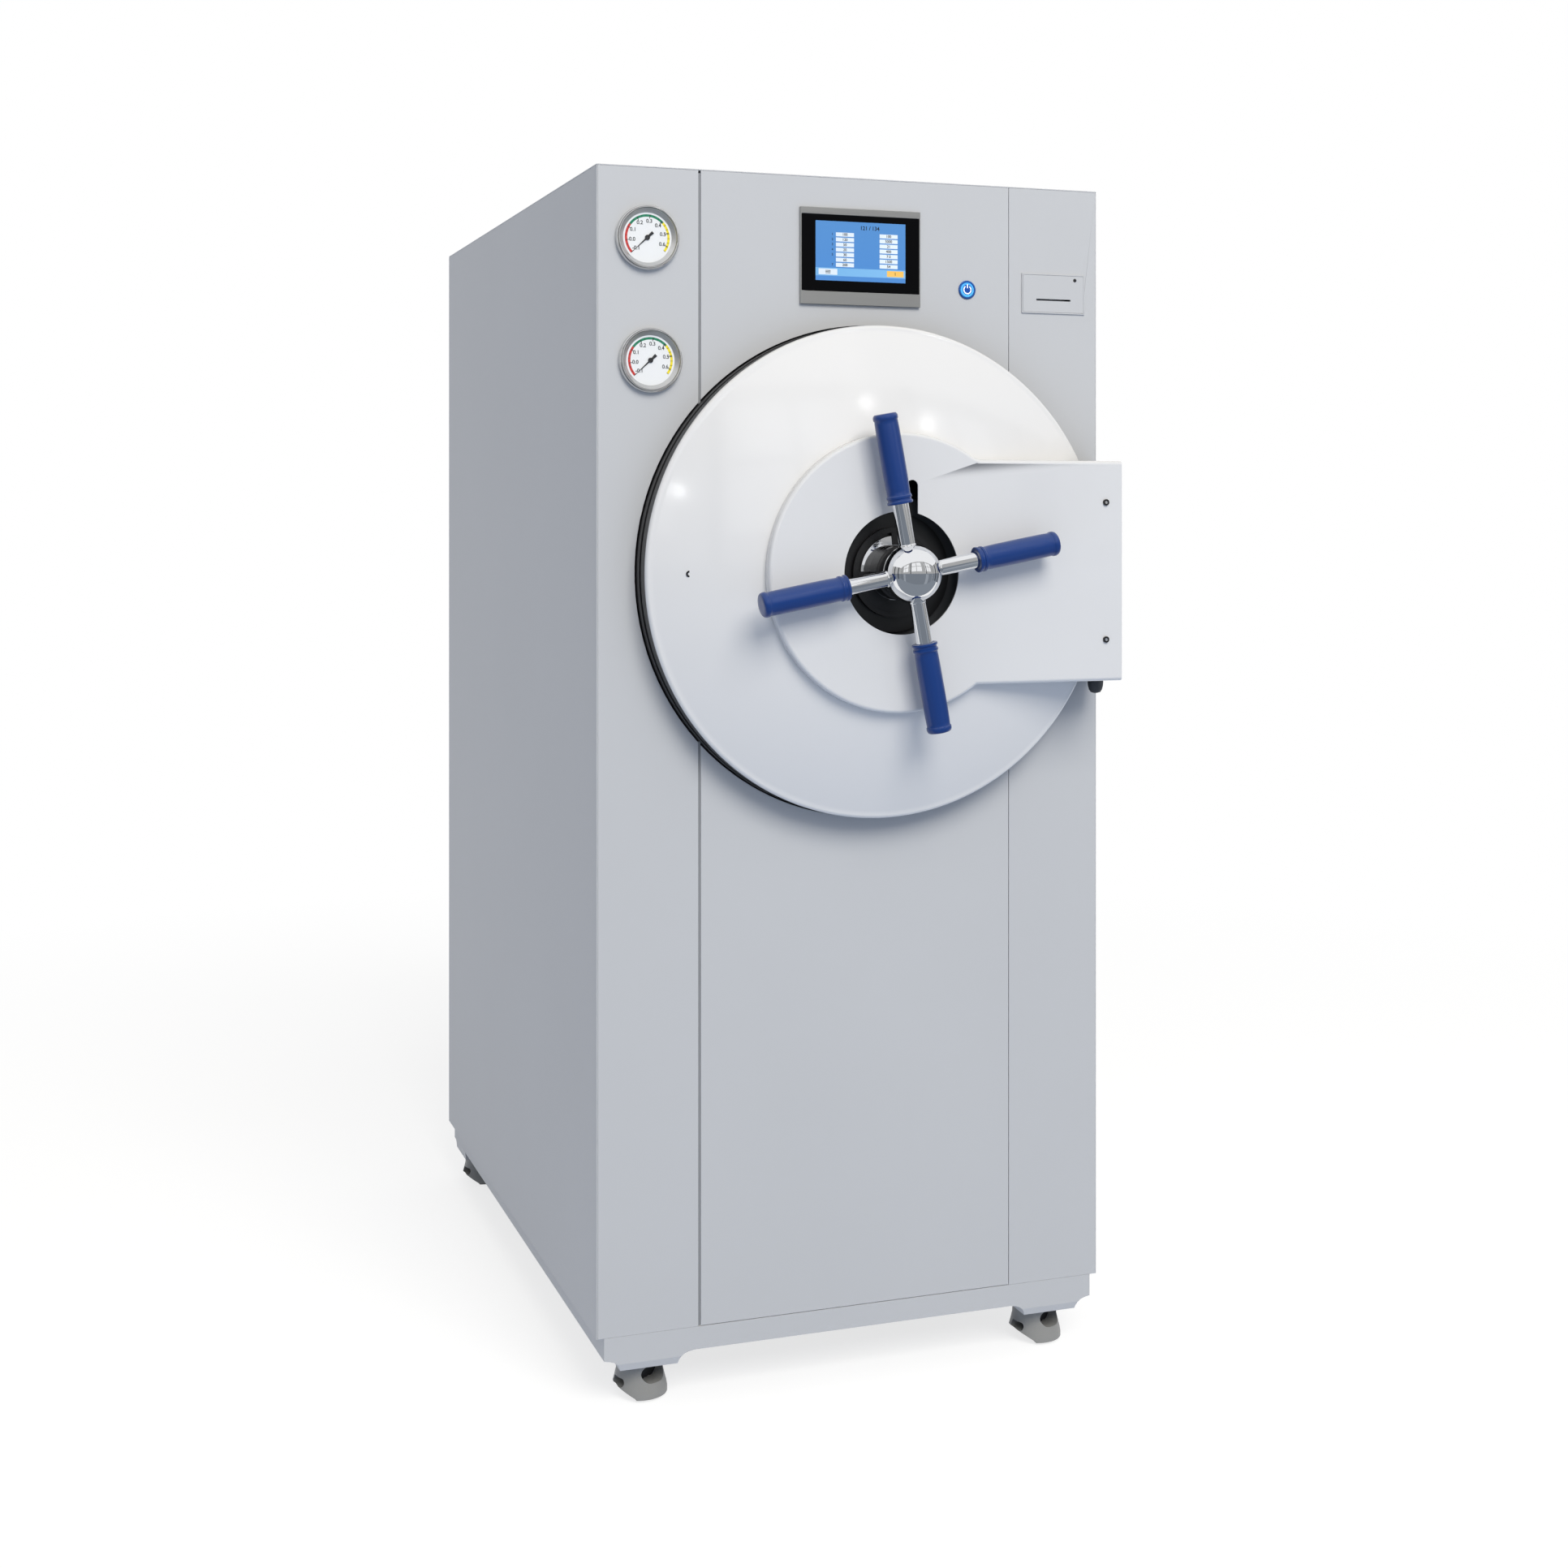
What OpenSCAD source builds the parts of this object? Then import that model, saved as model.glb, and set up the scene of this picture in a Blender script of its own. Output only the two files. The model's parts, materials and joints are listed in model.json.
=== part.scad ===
/* [Cabinet] */
// How far the side panels stand out beyond the door's flange ring
side_margin = 37; // [35:0.5:46]
// Strip of the right column that is left beside the ring
edge_strip = 12; // [11:0.5:14]
// Height of the cabinet's top above the flange ring
head_room = 236; // [221:1:266]
// Height of the door's axis above the panels' lower edge
door_rise = 1166; // [1140:2:1200]
// Room behind the chamber's dished end
rear_room = 59; // [50:1:90]
// Thickness of every sheet metal panel
sheet_t = 2; // [1.5:0.1:2.4]
// Depth of the folded edge behind each panel
fold_d = 24; // [20:1:28]
// Width of the left column, which carries the gauges
left_column_w = 162; // [150:1:170]
// Width of the right column, which carries the printer
right_column_w = 159; // [150:1:165]
// Open seam between the left column and the middle panels
seam_gap = 4; // [2:0.5:6]
// Height of the plinth band below the panels
plinth_h = 35; // [30:1:45]
// How far the plinth is set in from the sides
plinth_inset = 12; // [8:1:16]
// Side of the frame's square tube
tube_w = 40; // [35:1:45]
// Wall of the frame's square tube
tube_t = 3; // [2:0.5:4]

/* [Casters] */
// Height of a caster, from the floor to its mounting block
caster_h = 60; // [56:1:64]
// Height of the mounting block below the plinth
block_drop = 19; // [17:1:25]
// Width of the mounting block
block_w = 92; // [88:1:100]
// Radius of the caster's hood at its foot
hood_r = 43.5; // [42:0.5:46]
// Radius of the caster's wheel
wheel_r = 23; // [21:0.5:24]
// Width of the caster's wheel
wheel_w = 24; // [20:1:26]
// Distance from the swivel axis back to the wheel's axle
caster_trail = 9; // [6:0.5:10]

/* [Vessel] */
// Inner radius of the chamber
chamber_r = 300; // [296:1:302]
// Length of the chamber's straight part
chamber_len = 920; // [880:5:950]
// Wall of the chamber
chamber_t = 6; // [5:0.5:7]
// Gap between the chamber's bore and the jacket's bore
jacket_step = 26; // [22:1:30]
// Wall of the steam jacket
jacket_t = 4; // [3:0.5:5]

/* [Door] */
// Step from the chamber's bore out to the ring's collar
collar_step = 48; // [46:0.5:52]
// Width of the flange ring from its collar to its rim
ring_w = 40; // [38:0.5:42]
// Step from the ring's rim in to the white door cover
cover_step = 1; // [0.5:0.5:3]
// Gap between the collar and the pressure plate
plate_gap = 10; // [9:0.5:12]
// How far the ring stands in front of the panels
ring_front = 17; // [14:0.5:18]
// Depth of the pressure plate's back face behind the panels
plate_back = 58; // [56:1:60]
// Thickness of the pressure plate
plate_t = 20; // [16:1:22]
// Gap between the ring and the door's rim
door_gap = 5; // [4.5:0.5:7]
// Depth of the door's black rim
rim_d = 23; // [20:1:24]
// Height of the dome above the rim
dome_rise = 67; // [60:1:70]
// Radius of the round part of the arm cover
arm_r = 216; // [205:1:220]
// Half height of the arm cover's straight part
arm_half = 175; // [172:1:178]
// How far the arm cover's face stands in front of the panels
arm_face = 127; // [124:1:132]
// Radius of the round window in the arm cover
window_r = 95; // [88:1:98]
// Distance of the hinge axis in from the side panel
hinge_inset = 25; // [23:0.5:27]
// How far the hinge axis stands in front of the panels
hinge_front = 45; // [44:0.5:48]

/* [Handwheel and lock] */
// Radius of the polished ball at the hub
ball_r = 45; // [40:1:48]
// How far the ball's centre stands in front of the panels
ball_front = 167; // [165:1:175]
// Radius of the four rods
rod_r = 12.5; // [10:0.5:14]
// Radius of the grips
grip_r = 18.5; // [16:0.5:20]
// Distance from the axis to the start of a grip
grip_in = 108; // [100:1:120]
// Distance from the axis to the end of a grip
grip_out = 246; // [230:1:255]
// Angle of the first rod above the horizontal
wheel_angle = 10.6; // [0:0.1:20]
// Number of lock bolts round the door
bolt_count = 6; // [6:1:6]
// Radius of a lock bolt
bolt_r = 12; // [10:0.5:12.5]
// Travel of a lock bolt
bolt_travel = 26; // [22:1:26]
// Angle that the handwheel turns to lock
lock_angle = 45; // [40:1:48]
// Radius of the pin that rides in the scroll slot
scroll_pin_r = 6; // [5:0.5:7]
// Distance of that pin from the axis when the bolts are drawn in
scroll_r = 86; // [84:1:90]

/* [Instruments] */
// Radius of a gauge over its bezel
gauge_r = 50; // [46:1:52]
// Shift of the upper gauge and the lower gauge from the middle of the left column
gauge_shifts = [-2, 3];
// Distance of the upper gauge and the lower gauge below the top
gauge_drops = [110, 298];
// Width of the touch panel
touch_w = 204; // [190:1:210]
// Height of the touch panel
touch_h = 153; // [145:1:158]
// Shift of the touch panel from the middle of the upper panel
touch_shift = 1.9; // [-10:0.1:10]
// Height of the touch panel's lower edge above the ring
touch_rise = 33; // [26:1:46]
// Distance of the power button from the right seam
power_inset = 75; // [60:1:90]
// Height of the power button above the ring
power_rise = 65; // [51:1:86]
// Radius of the power button over its ring
power_r = 15; // [13:0.5:17]
// Travel of the power button
power_travel = 2; // [1.5:0.1:2.5]
// Margin of the right column on each side of the printer
printer_side = 22.5; // [20:0.5:26]
// Height of the printer's front
printer_h = 65; // [62:1:70]
// Height of the printer's lower edge above the ring
printer_rise = 31; // [26:1:66]

/* [Hidden] */
$fn = 96;

// Clearances and one overrun for every cut
cut = 1;
fit = 0.3;
running_fit = 0.06;
ring_gap = 2;

// Radii of the door and the vessel, from the chamber's bore outwards
jacket_r = chamber_r + jacket_step;
collar_r = chamber_r + collar_step;
ring_r = collar_r + ring_w;
cover_r = ring_r - cover_step;
plate_r = collar_r - plate_gap;

// Widths and heights of the cabinet follow from the ring, its depth from the chamber
half_w = ring_r + side_margin;
cabinet_w = 2 * half_w;
cabinet_h = door_rise + ring_r + head_room;
flange_back = 95;
dish_share = 0.5;
dish_d = chamber_r * dish_share;
cabinet_d = flange_back + chamber_len + dish_d + chamber_t + rear_room;
door_x = side_margin - edge_strip;
hinge_x = half_w - hinge_inset;
block_z = caster_h;
plinth_z = block_z + block_drop;
panel_z = plinth_z + plinth_h;
door_z = panel_z + door_rise;
top_z = panel_z + cabinet_h;
ring_top = door_z + ring_r;

// Seams of the front and the places of the instruments
left_seam = -half_w + left_column_w;
right_seam = half_w - right_column_w;
thin_seam = 0.8;
middle_w = right_seam - left_seam - seam_gap - thin_seam;
middle_x = left_seam + seam_gap;
column_mid = -half_w + left_column_w / 2;
gauge_places = [for (i = [0, 1]) [column_mid + gauge_shifts[i], top_z - gauge_drops[i]]];
touch_place = [middle_x + (middle_w - touch_w) / 2 + touch_shift, ring_top + touch_rise];
power_place = [right_seam - power_inset, ring_top + power_rise];
printer_w = right_column_w - 2 * printer_side;
printer_place = [right_seam + printer_side, ring_top + printer_rise];

// The door in its own frame: x right, y up, z forward of the panels
plate_front = -plate_back + plate_t;
rim_back = ring_front + door_gap;
rim_front = rim_back + rim_d;
rim_t = 6;
rim_r = cover_r - fit;
dome_front = rim_front + dome_rise;
hinge_local = hinge_x - door_x;
arm_past_hinge = 4;
arm_right = hinge_local + arm_past_hinge;
front_reach = ball_front + ball_r;

// Pipe stubs at the back
stub_reach = 45;
rear_reach = cabinet_d + stub_reach;
centre_y = (rear_reach - front_reach) / 2;

// Flange, gasket and hinge details
flange_face = 60;
gasket_step = 8;
gasket_in = chamber_r + gasket_step;
gasket_w = 14;
gasket_d = 8;
groove_r = collar_r - scroll_pin_r + bolt_travel + 2 * ring_gap;
bolt_axis = -18;
groove_half = bolt_r + ring_gap;
ear_r = 13;
ear_t = 9;
ear_step = 35;
ear_in = arm_half - ear_step;
lug_t = 12.4;
pin_r = 6;
pin_head = 5;
pin_cap = 32;
cap_shares = [[0, 0], [0.98, 0], [0.98, 0.42], [0.94, 0.6], [0.82, 0.8], [0.6, 0.93], [0, 1]];
bracket_t = 8;
boss_front = 86;
casting_t = 6;
lug_y = ear_in + ear_t + fit + lug_t / 2;

// The whole model stands with the middle of its footprint at the origin
module placed() {
    translate([0, -centre_y, 0]) children();
}

// Frame of the front: x right, y up, z forward, from a place on the front face
module on_front(place) {
    translate([place[0], 0, place[1]]) rotate([90, 0, 0]) children();
}

module on_door() {
    on_front([door_x, door_z]) children();
}

// A panel folded from sheet, its outer face at z = 0 and its folds behind it
module pan(w, h) {
    difference() {
        translate([0, 0, -fold_d]) cube([w, h, fold_d]);
        translate([sheet_t, sheet_t, -fold_d - cut])
            cube([w - 2 * sheet_t, h - 2 * sheet_t, fold_d - sheet_t + cut]);
    }
}

// Opening that the flange ring passes through
module ring_opening() {
    translate([0, 0, -fold_d - cut]) cylinder(r = ring_r + ring_gap, h = fold_d + 2 * cut, $fn = 180);
}

// A box centred in x and y
module block(w, h, d) {
    translate([-w / 2, -h / 2, 0]) cube([w, h, d]);
}

// A flat slot shape with round ends
module stadium(w, h) {
    union() {
        square([w - h, h], center = true);
        for (s = [-1, 1]) translate([s * (w - h) / 2, 0]) circle(h / 2, $fn = 32);
    }
}

// A plate with round corners, centred in x and y
module round_plate(w, h, d, r) {
    linear_extrude(d) union() {
        square([w - 2 * r, h], center = true);
        square([w, h - 2 * r], center = true);
        for (sx = [-1, 1]) for (sy = [-1, 1])
            translate([sx * (w / 2 - r), sy * (h / 2 - r)]) circle(r, $fn = 32);
    }
}

module tube(r, wall, h) {
    difference() {
        cylinder(r = r, h = h);
        translate([0, 0, -cut]) cylinder(r = r - wall, h = h + 2 * cut);
    }
}

// Square tube along x, y or z
module frame_tube(size) {
    long = max(size);
    hollow = [for (s = size) s == long ? s + 2 * cut : s - 2 * tube_t];
    difference() {
        cube(size);
        translate([for (i = [0:2]) size[i] == long ? -cut : tube_t]) cube(hollow);
    }
}

// The frame
boiler_r = 140;
boiler_len = 520;
boiler_x = -170;
boiler_y = 330;
post_x = half_w - fold_d;
post_front = flange_back + ring_gap;
post_back = cabinet_d - fold_d - tube_w - ring_gap;
post_h = top_z - sheet_t - panel_z;
rail_z = door_z - jacket_r - jacket_t - 2 * tube_w;
saddle_t = 10;
saddle_half_w = 210;
saddle_share = 0.62;
saddle_y = [post_front + 2 * tube_w, post_back - 3 * tube_w];
jacket_out = jacket_r + jacket_t;

foot_shares = [0.2, 0.8];
bed_y = [saddle_y[0], boiler_y + boiler_len * foot_shares[0],
    boiler_y + boiler_len * foot_shares[1] - tube_w, saddle_y[1]];

weld_gap = 0.3;
saddle_rise = jacket_out * (1 - saddle_share) + tube_w;

// Tubes across the frame, each cut to end at the side tubes
module cross_tubes(z, places) {
    for (y = places) translate([-post_x + tube_w + weld_gap, y, z])
        frame_tube([2 * (post_x - tube_w - weld_gap), tube_w, tube_w]);
}

module saddle() {
    translate([door_x, 0, 0]) rotate([90, 0, 0]) difference() {
        translate([-saddle_half_w, rail_z + tube_w + weld_gap, 0])
            cube([2 * saddle_half_w, saddle_rise, saddle_t]);
        translate([0, door_z, -cut]) cylinder(r = jacket_out, h = saddle_t + 2 * cut, $fn = 180);
    }
}

module base_frame() {
    side_len = post_back - post_front - tube_w - 2 * weld_gap;
    color("dimgray") {
        for (sx = [-1, 1]) translate([sx * (post_x - tube_w / 2) - tube_w / 2, 0, 0]) {
            for (y = [post_front, post_back]) translate([0, y, panel_z])
                frame_tube([tube_w, tube_w, post_h]);
            for (z = [panel_z, rail_z, top_z - sheet_t - tube_w])
                translate([0, post_front + tube_w + weld_gap, z]) frame_tube([tube_w, side_len, tube_w]);
        }
        for (z = [panel_z, top_z - sheet_t - tube_w]) cross_tubes(z, [post_front, post_back]);
        cross_tubes(panel_z, bed_y);
        cross_tubes(rail_z, saddle_y);
        for (y = saddle_y) translate([0, y + (tube_w + saddle_t) / 2, 0]) saddle();
    }
}

// The plinth: a band under the panels with a tapered block over each caster
caster_inset_x = 84;
caster_inset_y = 60;
rear_inset_x = 62;
rear_inset_y = 50;
block_lip = 12;
block_lean = 4;
flare_shares = [[0, 0], [0.05, 0.28], [0.16, 0.55], [0.36, 0.78], [0.66, 0.92], [1, 1]];
caster_places = [[-half_w + caster_inset_x, caster_inset_y], [half_w - caster_inset_x, caster_inset_y],
    [-half_w + rear_inset_x, cabinet_d - rear_inset_y],
    [half_w - rear_inset_x, cabinet_d - rear_inset_y]];

// One side of the block: it flares out in a curve up to the plinth
function flare_points(side, flare) = [for (s = flare_shares)
    [side * (block_w / 2 + flare * s[0]), block_z + block_drop * s[1]]];

module caster_block(facing, inset_x, inset_y) {
    top = inset_x - plinth_inset;
    flare = top - block_w / 2;
    down = flare_points(-1, flare);
    intersection() {
        rotate([90, 0, 0]) translate([0, 0, -inset_y]) linear_extrude(2 * inset_y)
            polygon(concat(flare_points(1, flare), [[top, panel_z - tube_t], [-top, panel_z - tube_t]],
                [for (k = [len(down) - 1:-1:0]) down[k]]));
        scale([1, facing, 1]) rotate([90, 0, 90]) translate([0, 0, -2 * top]) linear_extrude(4 * top)
            polygon([[block_lean - inset_y, block_z], [-inset_y, block_z + block_lip],
                [-inset_y, panel_z], [inset_y, panel_z], [inset_y, block_z]]);
    }
}

module plinth() {
    inner_w = cabinet_w - 2 * plinth_inset;
    color("lightgray") {
        difference() {
            translate([-inner_w / 2, 0, plinth_z]) cube([inner_w, cabinet_d, plinth_h]);
            translate([-inner_w / 2 + tube_t, tube_t, plinth_z - cut])
                cube([inner_w - 2 * tube_t, cabinet_d - 2 * tube_t, plinth_h + 2 * cut]);
        }
        for (i = [0:3]) at_caster(i) if (i < 2)
            caster_block(1, caster_inset_x, caster_inset_y);
        else
            caster_block(-1, rear_inset_x, rear_inset_y);
        for (p = [caster_inset_y, cabinet_d - caster_inset_y])
            translate([-inner_w / 2 + cut, p - tube_w, panel_z - tube_t])
                cube([inner_w - 2 * cut, 2 * tube_w, tube_t]);
        for (x = [-inner_w / 2 + cut, inner_w / 2 - 2 * tube_w - cut]) translate([x, cut, panel_z - tube_t])
            cube([2 * tube_w, cabinet_d - 2 * cut, tube_t]);
    }
}

// Side, top and rear panels
panel_h = cabinet_h - sheet_t;

module side_sheet() {
    color("silver") {
        translate([0, 0, -sheet_t]) cube([cabinet_d, panel_h, sheet_t]);
        for (y = [0, panel_h - sheet_t]) translate([fold_d, y, -fold_d])
            cube([cabinet_d - 2 * fold_d, sheet_t, fold_d]);
    }
}

module left_side_panel() {
    translate([-half_w, cabinet_d, panel_z]) rotate([90, 0, -90]) side_sheet();
}

module right_side_panel() {
    translate([half_w, 0, panel_z]) rotate([90, 0, 90]) side_sheet();
}

module top_panel() {
    color("gainsboro") translate([-half_w, 0, top_z - sheet_t]) cube([cabinet_w, cabinet_d, sheet_t]);
}

// Louvres are pressed slots in rows
louvre_w = 180;
louvre_h = 6;
louvre_pitch = 22;
louvre_rows = 12;
service_z = 420;
service_w = 360;
service_h = 150;

module louvre() {
    translate([0, 0, -sheet_t - cut]) linear_extrude(sheet_t + 2 * cut) stadium(louvre_w, louvre_h);
}

module rear_panel() {
    w = cabinet_w - 2 * sheet_t;
    color("silver") translate([half_w - sheet_t, cabinet_d, panel_z]) rotate([90, 0, 180]) {
        difference() {
            pan(w, panel_h);
            for (sx = [-1, 1]) for (i = [0:louvre_rows - 1])
                translate([w / 2 + sx * louvre_w * 0.75, panel_h * 0.72 + i * louvre_pitch, 0]) louvre();
            translate([w / 2, service_z - panel_z, -sheet_t - cut])
                round_plate(service_w, service_h, sheet_t + 2 * cut, tube_w / 2);
        }
    }
}

// Front panels: two columns with two middle panels between them
upper_z = door_z;

module gauge_holes() {
    for (g = gauge_places) translate([g[0], g[1], -fold_d])
        cylinder(r = gauge_body_r + fit, h = fold_d + cut);
}

module front_left_column() {
    color("gainsboro") difference() {
        on_front([-half_w + sheet_t, panel_z]) pan(left_column_w - sheet_t, panel_h);
        on_front([0, 0]) gauge_holes();
        on_door() ring_opening();
    }
}

module front_right_column() {
    color("gainsboro") difference() {
        on_front([right_seam, panel_z]) pan(right_column_w - sheet_t, panel_h);
        on_door() ring_opening();
        on_front([printer_place[0] + printer_margin, printer_place[1] + printer_margin])
            translate([-fit, -fit, -fold_d]) cube([printer_w - 2 * printer_margin + 2 * fit,
                printer_h - 2 * printer_margin + 2 * fit, fold_d + cut]);
    }
}

module front_upper_panel() {
    color("gainsboro") difference() {
        on_front([middle_x, upper_z]) pan(middle_w, top_z - sheet_t - upper_z);
        on_door() ring_opening();
        on_front([touch_place[0] + touch_margin - fit, touch_place[1] + touch_margin - fit])
            translate([0, 0, -fold_d]) cube([touch_w - 2 * touch_margin + 2 * fit,
                touch_h - 2 * touch_margin + 2 * fit, fold_d + cut]);
        on_front(power_place) translate([0, 0, -fold_d])
            cylinder(r = power_r - power_lip + fit, h = fold_d + cut);
    }
}

module front_lower_panel() {
    color("gainsboro") difference() {
        on_front([middle_x, panel_z + thin_seam]) pan(middle_w, upper_z - panel_z - 2 * thin_seam);
        on_door() ring_opening();
    }
}

// The vessel: chamber, jacket and flange, drawn in the door's frame, going back along -z
chamber_end = -flange_back - chamber_len;
rail_w = 26;
rack_y_share = 0.587;
rack_y = -chamber_r * rack_y_share;
rack_t = 8;
rack_clear = 28;
rack_w = 2 * (sqrt(pow(chamber_r, 2) - pow(rack_y, 2)) - rack_clear);
rail_inset = 35;
rail_x = rack_w / 2 - rail_inset;

// A quarter ellipse from the head's rim to its pole
function head_points(r, d) = [for (i = [0:head_steps])
    [max(r * cos(90 * i / head_steps), 0), -d * sin(90 * i / head_steps)]];

head_steps = 14;
rail_t = 4;
rail_foot_r = chamber_r + chamber_t / 2;

// Height at which a rail's foot reaches the middle of the chamber's wall
function foot_y(x) = -sqrt(pow(rail_foot_r, 2) - pow(x, 2));

module chamber_shell() {
    outer = chamber_r + chamber_t;
    color("lightsteelblue") on_door() {
        rotate_extrude($fn = 180) polygon(concat([[chamber_r, -flange_back], [outer, -flange_back]],
            [for (p = head_points(outer, dish_d + chamber_t)) p + [0, chamber_end]],
            [for (i = [head_steps:-1:0]) head_points(chamber_r, dish_d)[i] + [0, chamber_end]]));
        for (sx = [-1, 1]) scale([sx, 1, 1]) translate([0, 0, chamber_end]) linear_extrude(chamber_len) {
            x0 = rail_x - rail_w / 2;
            polygon([[x0, rack_y - fit], [x0 + rail_w, rack_y - fit], [x0 + rail_w, rack_y - fit - rail_t],
                [x0 + rail_t, rack_y - fit - rail_t], [x0 + rail_t, foot_y(x0 + rail_t)],
                [x0, foot_y(x0)]]);
        }
    }
}

// The jacket is a sleeve with closed ends and two stiffening rings
jacket_lead = 60;
jacket_short = 90;
jacket_start = -flange_back - jacket_lead;
jacket_len = chamber_len - jacket_short;

module steam_jacket() {
    color("lightgray") on_door() translate([0, 0, jacket_start - jacket_len]) {
        difference() {
            cylinder(r = jacket_out, h = jacket_len, $fn = 180);
            translate([0, 0, jacket_t]) cylinder(r = jacket_r, h = jacket_len - 2 * jacket_t, $fn = 180);
            translate([0, 0, -cut])
                cylinder(r = chamber_r + chamber_t, h = jacket_len + 2 * cut, $fn = 180);
        }
    }
}

module flange_ring() {
    color([0.1, 0.1, 0.11]) on_door() {
        rotate_extrude($fn = 240) difference() {
            union() {
                translate([chamber_r, -flange_back])
                    square([ring_r - chamber_r, flange_back - flange_face]);
                translate([collar_r, -flange_back]) square([ring_r - collar_r, flange_back + ring_front]);
            }
            translate([collar_r - cut, bolt_axis - groove_half])
                square([groove_r - collar_r + cut, 2 * groove_half]);
            translate([gasket_in, -flange_face - gasket_d]) square([gasket_w, gasket_d + cut]);
        }
        for (sy = [-1, 1]) difference() {
            translate([ring_r * 0.9, sy * (ear_in + bracket_t * 4) - bracket_t * 4, -sheet_t - tube_w])
                cube([half_w - sheet_t * 3 - door_x - ring_r * 0.9, bracket_t * 8, tube_w]);
            translate([0, 0, -flange_back]) cylinder(r = ring_r - cut, h = 2 * flange_back, $fn = 240);
        }
    }
}

module door_gasket() {
    color([0.75, 0.2, 0.15]) on_door() rotate_extrude($fn = 240)
        translate([gasket_in, -flange_face - gasket_d])
            square([gasket_w, gasket_d + flange_face - plate_back - fit]);
}

// Loading rack: a slatted tray with two side walls that slides on the chamber's rails
rack_short = 40;
rack_len = chamber_len - rack_short;
rack_front = flange_back + 4 * rack_t;
rack_wall_h = 24;
slat_count = 14;

module loading_rack() {
    pitch = (rack_len - 2 * rack_t) / slat_count;
    color("silver") on_door() translate([-rack_w / 2, rack_y, -rack_front - rack_len + tube_w]) {
        difference() {
            cube([rack_w, rack_t, rack_len]);
            for (i = [0:slat_count - 1]) for (s = [0, 1])
                translate([rail_w + rack_t + s * (rack_w - rack_t) / 2, -cut, rack_t + i * pitch + rack_t])
                    cube([rack_w / 2 - rail_w - 2 * rack_t, rack_t + 2 * cut, pitch - rack_t]);
        }
        for (x = [0, rack_w - rack_t / 2]) translate([x, rack_t, 0])
            cube([rack_t / 2, rack_wall_h, rack_len]);
    }
}

// Steam generator: a small boiler lying on two feet, with its heater flange at the front
boiler_foot = 24;
boiler_t = 5;
boiler_z = panel_z + tube_w + boiler_foot + boiler_r;
flange_r = 80;
flange_t = 14;
nozzle_r = 13;
nozzle_h = 40;

module bolt_circle(r, count, head_r, h) {
    for (i = [0:count - 1]) rotate([0, 0, i * 360 / count]) translate([r, 0, 0])
        cylinder(r = head_r, h = h, $fn = 6);
}

// A closed drum along z with a dished head at each end
module drum(r, len, dish) {
    rotate_extrude($fn = 128) polygon(concat(
        head_points(r, dish), [[0, len + dish]],
        [for (i = [head_steps:-1:0]) let (p = head_points(r, dish)[i]) [p[0], len - p[1]]]));
}

module steam_generator() {
    dish = boiler_r / 4;
    color("silver") translate([boiler_x, boiler_y, boiler_z]) {
        difference() {
            union() {
                rotate([-90, 0, 0]) drum(boiler_r, boiler_len, dish);
                for (y = [boiler_len * 0.18, boiler_len * 0.82]) translate([0, y, boiler_r - nozzle_r])
                    cylinder(r = nozzle_r * 1.2, h = nozzle_h + nozzle_r);
                rotate([90, 0, 0]) cylinder(r = flange_r, h = dish + flange_t);
            }
            rotate([-90, 0, 0]) drum(boiler_r - boiler_t, boiler_len, dish - boiler_t);
            for (y = [boiler_len * 0.18, boiler_len * 0.82]) translate([0, y, 0])
                cylinder(r = nozzle_r * 0.8, h = boiler_r + nozzle_h + cut, $fn = 48);
        }
        rotate([90, 0, 0]) translate([0, 0, dish + flange_t]) {
            cylinder(r = flange_r * 0.95, h = flange_t);
            translate([0, 0, flange_t]) {
                bolt_circle(flange_r * 0.82, 8, flange_t / 2, flange_t / 2);
                for (i = [0:2]) rotate([0, 0, 120 * i]) translate([flange_r * 0.36, 0, 0])
                    cylinder(r = flange_t * 0.8, h = 2 * flange_t, $fn = 32);
            }
        }
        for (y = [bed_y[1], bed_y[2]]) translate([0, y - boiler_y, 0]) difference() {
            translate([-boiler_r * 0.7, 0, -boiler_r - boiler_foot])
                cube([boiler_r * 1.4, tube_w, boiler_foot + boiler_r * 0.4]);
            translate([0, -cut, 0]) rotate([-90, 0, 0])
                cylinder(r = boiler_r - boiler_t / 2, h = tube_w + 2 * cut, $fn = 128);
        }
    }
}

// Pump set: a water ring vacuum pump and a small feed pump, each on its motor, on one bed plate
pump_x = 190;
pump_y = saddle_y[0];
pump_len = 420;
bed_w = 300;
bed_t = 5;
motor_r = 66;
motor_len = 190;
fin_count = 14;
fin_t = 3;
fin_h = 8;
pump_head_r = 78;
pump_head_len = 80;
bed_z = panel_z + tube_w;

module motor(r, len, fins) {
    cylinder(r = r, h = len);
    for (i = [0:fins - 1]) rotate([0, 0, i * 360 / fins]) translate([r - fin_t, -fin_t / 2, len * 0.12])
        cube([fin_h + fin_t, fin_t, len * 0.7]);
    translate([0, 0, len]) cylinder(r = r * 0.94, h = len * 0.14);
    translate([-r * 0.4, r * 0.6, len * 0.3]) cube([r * 0.8, r * 0.75, len * 0.4]);
}

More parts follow.
